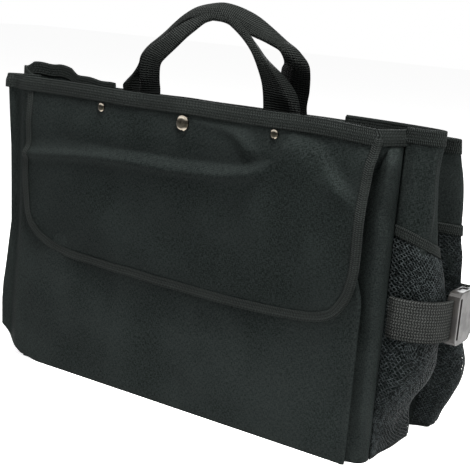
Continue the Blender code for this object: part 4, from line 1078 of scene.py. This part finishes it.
def net_threads(half, tops, span):
    """Shares across and up the net for each thread: they zigzag and meet at every turn."""
    x0, y0 = half.plan(np.linspace(*span, 60), np.full(60, 0.1))
    width = lengths(np.stack([x0, y0], -1))[-1]
    count = int(width / (NET_PITCH / 2))
    tall = np.mean(tops) - 0.02
    v = np.linspace(0, 1, int(tall / NET_STEP))
    phase = v * tall / (NET_PITCH * NET_TALL)
    swing = np.clip(1.5 * (np.abs(((phase + 0.25) % 1) * 2 - 1) * 2 - 1), -1, 1)
    number = np.arange(count)
    sign = np.where(number % 2, 1.0, -1.0)
    base = (number + 0.5) / count
    u = np.clip(base[:, None] + sign[:, None] * swing[None, :] * 0.5 / count, 0, 1)
    v = np.broadcast_to(v[None, :], u.shape)
    # The mesh is pulled about by hand: its holes open and close from place to place.
    loose = np.sin(math.pi * u) * np.sin(math.pi * v)

    def pull(a, b, length, seed):
        return ripple(a * width, b * NET_HEIGHT, length, half.seed + seed)

    pulled = u + loose * (0.034 * pull(u, v, 0.030, 1) + 0.014 * pull(u, v, 0.012, 2))
    return pulled, v + loose * 0.024 * pull(u, v, 0.026, 3)


def make_net(half, side, tops, span):
    """Knitted net: a thin tube round each thread, and a tape over their upper ends.

    tops are the heights of its two upper corners, and span its share of the side wall.
    """
    word, carrier = WORD[side], carrier_of(half, side)
    along, z, off = net_place(half, *net_threads(half, tops, span), tops, span)
    x, y = outset(half, along, z, off)
    centre = placed(side * x, y, z)
    count, steps = z.shape
    out = way_out(half, side, along, z)
    across = unit(np.cross(unit(np.gradient(centre, axis=1)), out))
    radius = np.full(steps, THREAD_RADIUS)
    radius[[0, -1]] = 1e-6
    turns = np.radians(np.arange(THREAD_CORNERS) * 360.0 / THREAD_CORNERS + 45)[:, None]
    around = np.cos(turns) * out[:, :, None] + 1.25 * np.sin(turns) * across[:, :, None]
    ring = centre[:, :, None] + radius[None, :, None, None] * around
    index = np.arange(count * steps * THREAD_CORNERS).reshape(count, steps, THREAD_CORNERS)
    a, b = index[:, :-1], index[:, 1:]
    faces = np.stack([a, np.roll(a, -1, 2), np.roll(b, -1, 2), b], -1).reshape(-1, 4)
    faces = np.vstack([faces, index[:, 0, ::-1], index[:, -1]])
    net = new_piece(f"net_cloth_{half.name}_{word}", ring, faces, NET)
    settle(net, carrier, (f"net_{half.name}_{word}",))
    u = np.linspace(0, 1, 60)
    levels = np.linspace(0, NET_TAPE, 7)
    down = (tops[0] + (tops[1] - tops[0]) * u)[:, None] - levels[None, :]
    wide = np.broadcast_to((span[0] + u * (span[1] - span[0]))[:, None], down.shape)
    x, y = outset(half, wide, down, NET_TAPE_OFF)
    band = placed(side * x, y, down)
    lie = pairs(lengths(band[:, 0])[:, None], levels[None, :])
    tape = skin(f"net_band_{half.name}_{word}", band, lie, BINDING, NET_TAPE_WALL)
    settle(tape, carrier, (f"net_{half.name}_tape_{word}",))


# Straps and handles.

STRAP_WALL = 0.0016
STRAP_OUT = 0.0105
BUCKLE_LONG = 0.064
HANDLE_STEPS, HANDLE_ROUND = 190, 40


def make_strap(half, side):
    """Webbing from the seam to the buckle: sewn down, over the net's edge, out at the fold."""
    fold_x, fold_y = near_fold(STRAP_Z)
    buckle_x = fold_x + STRAP_OUT
    u = np.append((0.012, 0.022, 0.034), np.linspace(0.046, FOLD_SHARE, 30))
    sewn, over = 0.00165, 0.0048
    off = sewn + (over - sewn) * climb(u, 0.012, 0.046)
    off = off + (STRAP_OUT - over) * climb(u, 0.046, FOLD_SHARE)
    path = np.stack(outset(half, u, np.full_like(u, STRAP_Z), off), -1)
    if half is NEAR:
        path = np.vstack([path[path[:, 1] < fold_y - 0.0035], (buckle_x, fold_y - 0.0003)])
    else:
        end_y = fold_y + BUCKLE_LONG
        tail = [(buckle_x, end_y + 0.0018), (buckle_x, end_y + 0.0003)]
        path = np.vstack([path[path[:, 0] < buckle_x - 0.014], tail])
    run = lengths(path)
    s = np.linspace(0, run[-1], 60)
    x, y = (np.interp(s, run, path[:, k])[:, None] for k in (0, 1))
    rise = np.linspace(-WEBBING_WIDE / 2, WEBBING_WIDE / 2, 15)[None, :]
    lean = math.tan(half.lean) * climb(1 - s / s[-1], 0.0, 0.5)[:, None]
    points = placed(side * x, y - lean * rise, STRAP_Z + rise)
    name = f"{half.name}_{WORD[side]}"
    lie = pairs(s[:, None], rise + WEBBING_WIDE / 2)
    strap = skin(f"strap_webbing_{name}", points, lie, STRAP, STRAP_WALL)
    settle(strap, "front" if half is NEAR else "rear_wall", (f"strap_{name}",))


# Places in millimetres along each loop, from its left foot to its right foot: x, depth and z of
# its outer edge, then of its inner edge.
REAR_LOOP = [
    (-110, 91, 236, -72, 91, 236), (-118, 80, 272, -84, 80, 272), (-136, 75, 298, -108, 75, 298),
    (-141, 75, 307, -117, 74, 308), (-138, 77, 313, -114, 74, 319), (-131, 79, 321, -110, 72, 326),
    (-124, 80, 331, -107, 70, 332), (-121, 79, 341, -101, 67, 340), (-108, 77, 353, -91, 64, 350),
    (-80, 72, 368, -75, 59, 364), (-66, 68, 380, -61, 57, 373), (-53, 66, 389, -49, 54, 380),
    (-36, 64, 397, -35, 51, 385), (-11, 62, 402, -10, 48, 385), (5, 62, 401, 5, 47, 384),
    (22, 61, 397, 16, 47, 380), (38, 60, 391, 26, 47, 377), (55, 60, 381, 40, 47, 373),
    (72, 60, 370, 54, 48, 369), (86, 60, 362, 67, 50, 363), (95, 61, 352, 71, 56, 353),
    (97, 63, 341, 63, 66, 345), (95, 68, 326, 59, 72, 330), (91, 73, 308, 61, 74, 312),
    (95, 76, 290, 66, 76, 290), (104, 82, 268, 70, 82, 268), (110, 91, 236, 72, 91, 236),
]
FRONT_LOOP = [
    (-102, 38, 233, -64, 38, 233), (-101, 38, 262, -64, 38, 262), (-94, 38, 290, -62, 38, 292),
    (-90, 40, 306, -61, 38, 309), (-92, 43, 318, -62, 37, 320), (-95, 46, 330, -62, 36, 331),
    (-93, 47, 341, -61, 36, 338), (-86, 48, 351, -56, 36, 344), (-71, 50, 362, -46, 37, 354),
    (-57, 52, 373, -34, 38, 366), (-46, 54, 379, -24, 40, 375), (-35, 57, 384, -17, 43, 382),
    (-27, 58, 389, -12, 45, 384.5), (-16, 58, 392, -7, 47, 386), (-5, 57, 393, 0, 48, 386),
    (6, 55, 391, 7, 47, 384.5), (18, 52, 386, 16, 45, 380), (33, 48, 376, 27, 43, 373),
    (47, 45, 365, 37, 41, 365), (62, 42, 353, 46, 39.5, 355), (82, 40, 340, 54, 38.5, 342),
    (97, 39, 326, 60, 38, 328), (104, 38, 310, 63, 38, 310), (104, 38, 290, 64, 38, 290),
    (102, 38, 262, 64, 38, 262), (102, 38, 233, 64, 38, 233),
]


def make_handle(where, loop, doubled, ridge, crest, carrier):
    """Webbing loop between two edges: middle + side * wide / 2 + (rise * thick + lift) * face.

    It is a flattened tube, thin at its feet and doubled at the grip. doubled gives the heights
    between which it thickens, ridge how far its fold stands out, and crest where across.
    """
    edges = smooth_line(np.array(loop) / 1000, HANDLE_STEPS)
    outer, inner = placed(*edges[:, :3].T), placed(*edges[:, 3:].T)
    middle, wide = (outer + inner) / 2, outer - inner
    face = unit(np.cross(unit(np.gradient(middle, axis=0)), wide))
    face *= np.where(face[:, 1] > 0, -1, 1)[:, None]
    folded = climb(middle[:, 2], *doubled)
    thick = 0.0011 + 0.0016 * folded
    turn = np.linspace(0, 2 * math.pi, HANDLE_ROUND, endpoint=False)
    side = np.sign(np.cos(turn)) * np.abs(np.cos(turn)) ** 0.8
    rise = np.sign(np.sin(turn)) * np.abs(np.sin(turn)) ** 0.5
    fold = ridge * np.minimum((side + 1) / (1 + crest), (1 - side) / (1 - crest))
    lift = fold[:, None] * (climb(middle[:, 2], 0.300, 0.325) * (1 - 0.6 * folded))[None, :]
    points = (
        middle[None]
        + side[:, None, None] * wide[None] / 2
        + (rise[:, None] * thick[None, :] + lift)[..., None] * face[None]
    )
    ends = [np.repeat(middle[end][None, None], len(turn), axis=0) for end in (0, -1)]
    points = np.concatenate([ends[0], points, ends[1]], axis=1)
    s = lengths(middle)
    s = np.concatenate([[s[0] - 0.001], s, [s[-1] + 0.001]])
    around = np.append(turn, 2 * math.pi) / math.pi * WEBBING_WIDE
    lie = pairs(s[None, :], around[:, None])
    handle = skin(f"{where}_handle_webbing", points, lie, WEBBING, ring=True)
    close_poles(handle)
    nodes = [f"{where}_handle{part}" for part in ("", "_anchor_left", "_anchor_right")]
    settle(handle, carrier, nodes)


# Scene.


def finish_cad_nodes():
    """Gives the CAD nodes that stay their materials."""
    finishes = {
        "front_board": BOARD, "rear_board": BOARD, "rear_base_batten": CLOTH_FIXED,
        "base_board_front": LINING_FIXED, "base_board_rear": LINING_FIXED,
        "flap_loop_strip": CLOSURE, "pocket_hook_strip": CLOSURE,
        "snap_socket": METAL, "snap_stud": METAL, "snap_post": METAL, **PAINTED_GLINT_CAPS,
    }
    for word in WORD.values():
        for part in ("body", "tail", "prong_upper", "prong_lower"):
            finishes[f"buckle_{part}_{word}"] = PLASTIC
    for name, material in finishes.items():
        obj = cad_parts[name]
        if not obj.material_slots:
            obj.data.materials.append(material)
        for slot in obj.material_slots:
            slot.material = material


def seen(bench):
    """1 for what the camera sees, also in a mirror or through glass, and 0 for lighting."""
    path = bench.add("ShaderNodeLightPath").outputs
    through_glass = bench.calc("MAXIMUM", path["Is Glossy Ray"], path["Is Transmission Ray"])
    return bench.calc("MAXIMUM", path["Is Camera Ray"], through_glass)


def make_stage():
    """Pale floor that shows white to the camera and keeps the object's soft shadow."""
    made = bpy.data.materials.new("floor")
    made.use_nodes = True
    made.node_tree.nodes.clear()
    bench = Bench(made.node_tree)
    lit = bench.add("ShaderNodeBsdfDiffuse", {"Color": (0.86, 0.86, 0.86, 1.0)})
    white = bench.add("ShaderNodeEmission", {"Color": (1.0, 1.0, 1.0, 1.0), "Strength": 0.90})
    dark = bench.add("ShaderNodeEmission", {"Strength": 0.0})
    mixed = {0: seen(bench), 1: dark.outputs[0], 2: white.outputs[0]}
    glow = bench.add("ShaderNodeMixShader", mixed)
    both = bench.add("ShaderNodeAddShader", {0: lit.outputs[0], 1: glow.outputs[0]})
    bench.add("ShaderNodeOutputMaterial", {"Surface": both.outputs[0]})
    corners = [(-9, -9, 0), (9, -9, 0), (9, 9, 0), (-9, 9, 0)]
    new_piece("floor", corners, [(0, 1, 2, 3)], made)


def make_world():
    """White to the camera, and a faint light from all sides."""
    world = bpy.data.worlds.new("studio")
    bpy.context.scene.world = world
    world.use_nodes = True
    world.node_tree.nodes.clear()
    bench = Bench(world.node_tree)
    soft, white = (
        bench.add("ShaderNodeBackground", {"Color": (1.0, 1.0, 1.0, 1.0), "Strength": strength})
        for strength in (0.07, 1.0)
    )
    mixed = {0: seen(bench), 1: soft.outputs[0], 2: white.outputs[0]}
    mix = bench.add("ShaderNodeMixShader", mixed)
    bench.add("ShaderNodeOutputWorld", {"Surface": mix.outputs[0]})


bpy.context.scene.view_settings.view_transform = "Standard"
set_camera(
    azimuth=32.998, elevation=12.048, roll=4.735, aim=(0.067964, FACE, 0.189633),
    distance=0.9960, lens=80.867,
)
make_world()
make_stage()
# Name, spot, height that it aims at, size, watts and tint.
area_light("top_light", (0.26, -0.35, 1.65), 0.20, (0.36, 0.36), 46.0, (1.0, 0.99, 0.97))
area_light("right_light", (1.15, -0.62, 1.05), 0.18, (0.4, 0.4), 15.5, (1.0, 0.99, 0.98))
area_light("back_light", (-0.7, 1.7, 1.1), 0.18, (1.0, 0.8), 20.0, (0.97, 0.985, 1.0))
area_light("fill_light", (-1.2, -1.5, 0.9), 0.15, (1.4, 1.0), 3.0, (0.95, 0.975, 1.0))

make_pocket()
make_pocket_base()
make_flap()
make_flap_tape()
make_rim_band()
make_mouth_tape()
make_walls()
for side in WORD:
    make_side(NEAR, side)
    make_side(FAR, side)
    make_net(NEAR, side, tops=(0.224, 0.203), span=(0.0, 0.50))
    make_net(FAR, side, tops=(0.218, 0.222), span=(0.05, 0.76))
    make_strap(NEAR, side)
    make_strap(FAR, side)
make_handle(
    "rear", REAR_LOOP, doubled=(0.33, 0.36), ridge=0.004, crest=0.0,
    carrier=("rear_wall", "rear_handle", (0, 0, 0.296), (0, 0, 0.306)),
)
make_handle(
    "front", FRONT_LOOP, doubled=(0.33, 0.37), ridge=0.006, crest=0.5,
    carrier=("front", "front_handle", (0, 0, 0.298), (0, 0, 0.308)),
)
finish_cad_nodes()
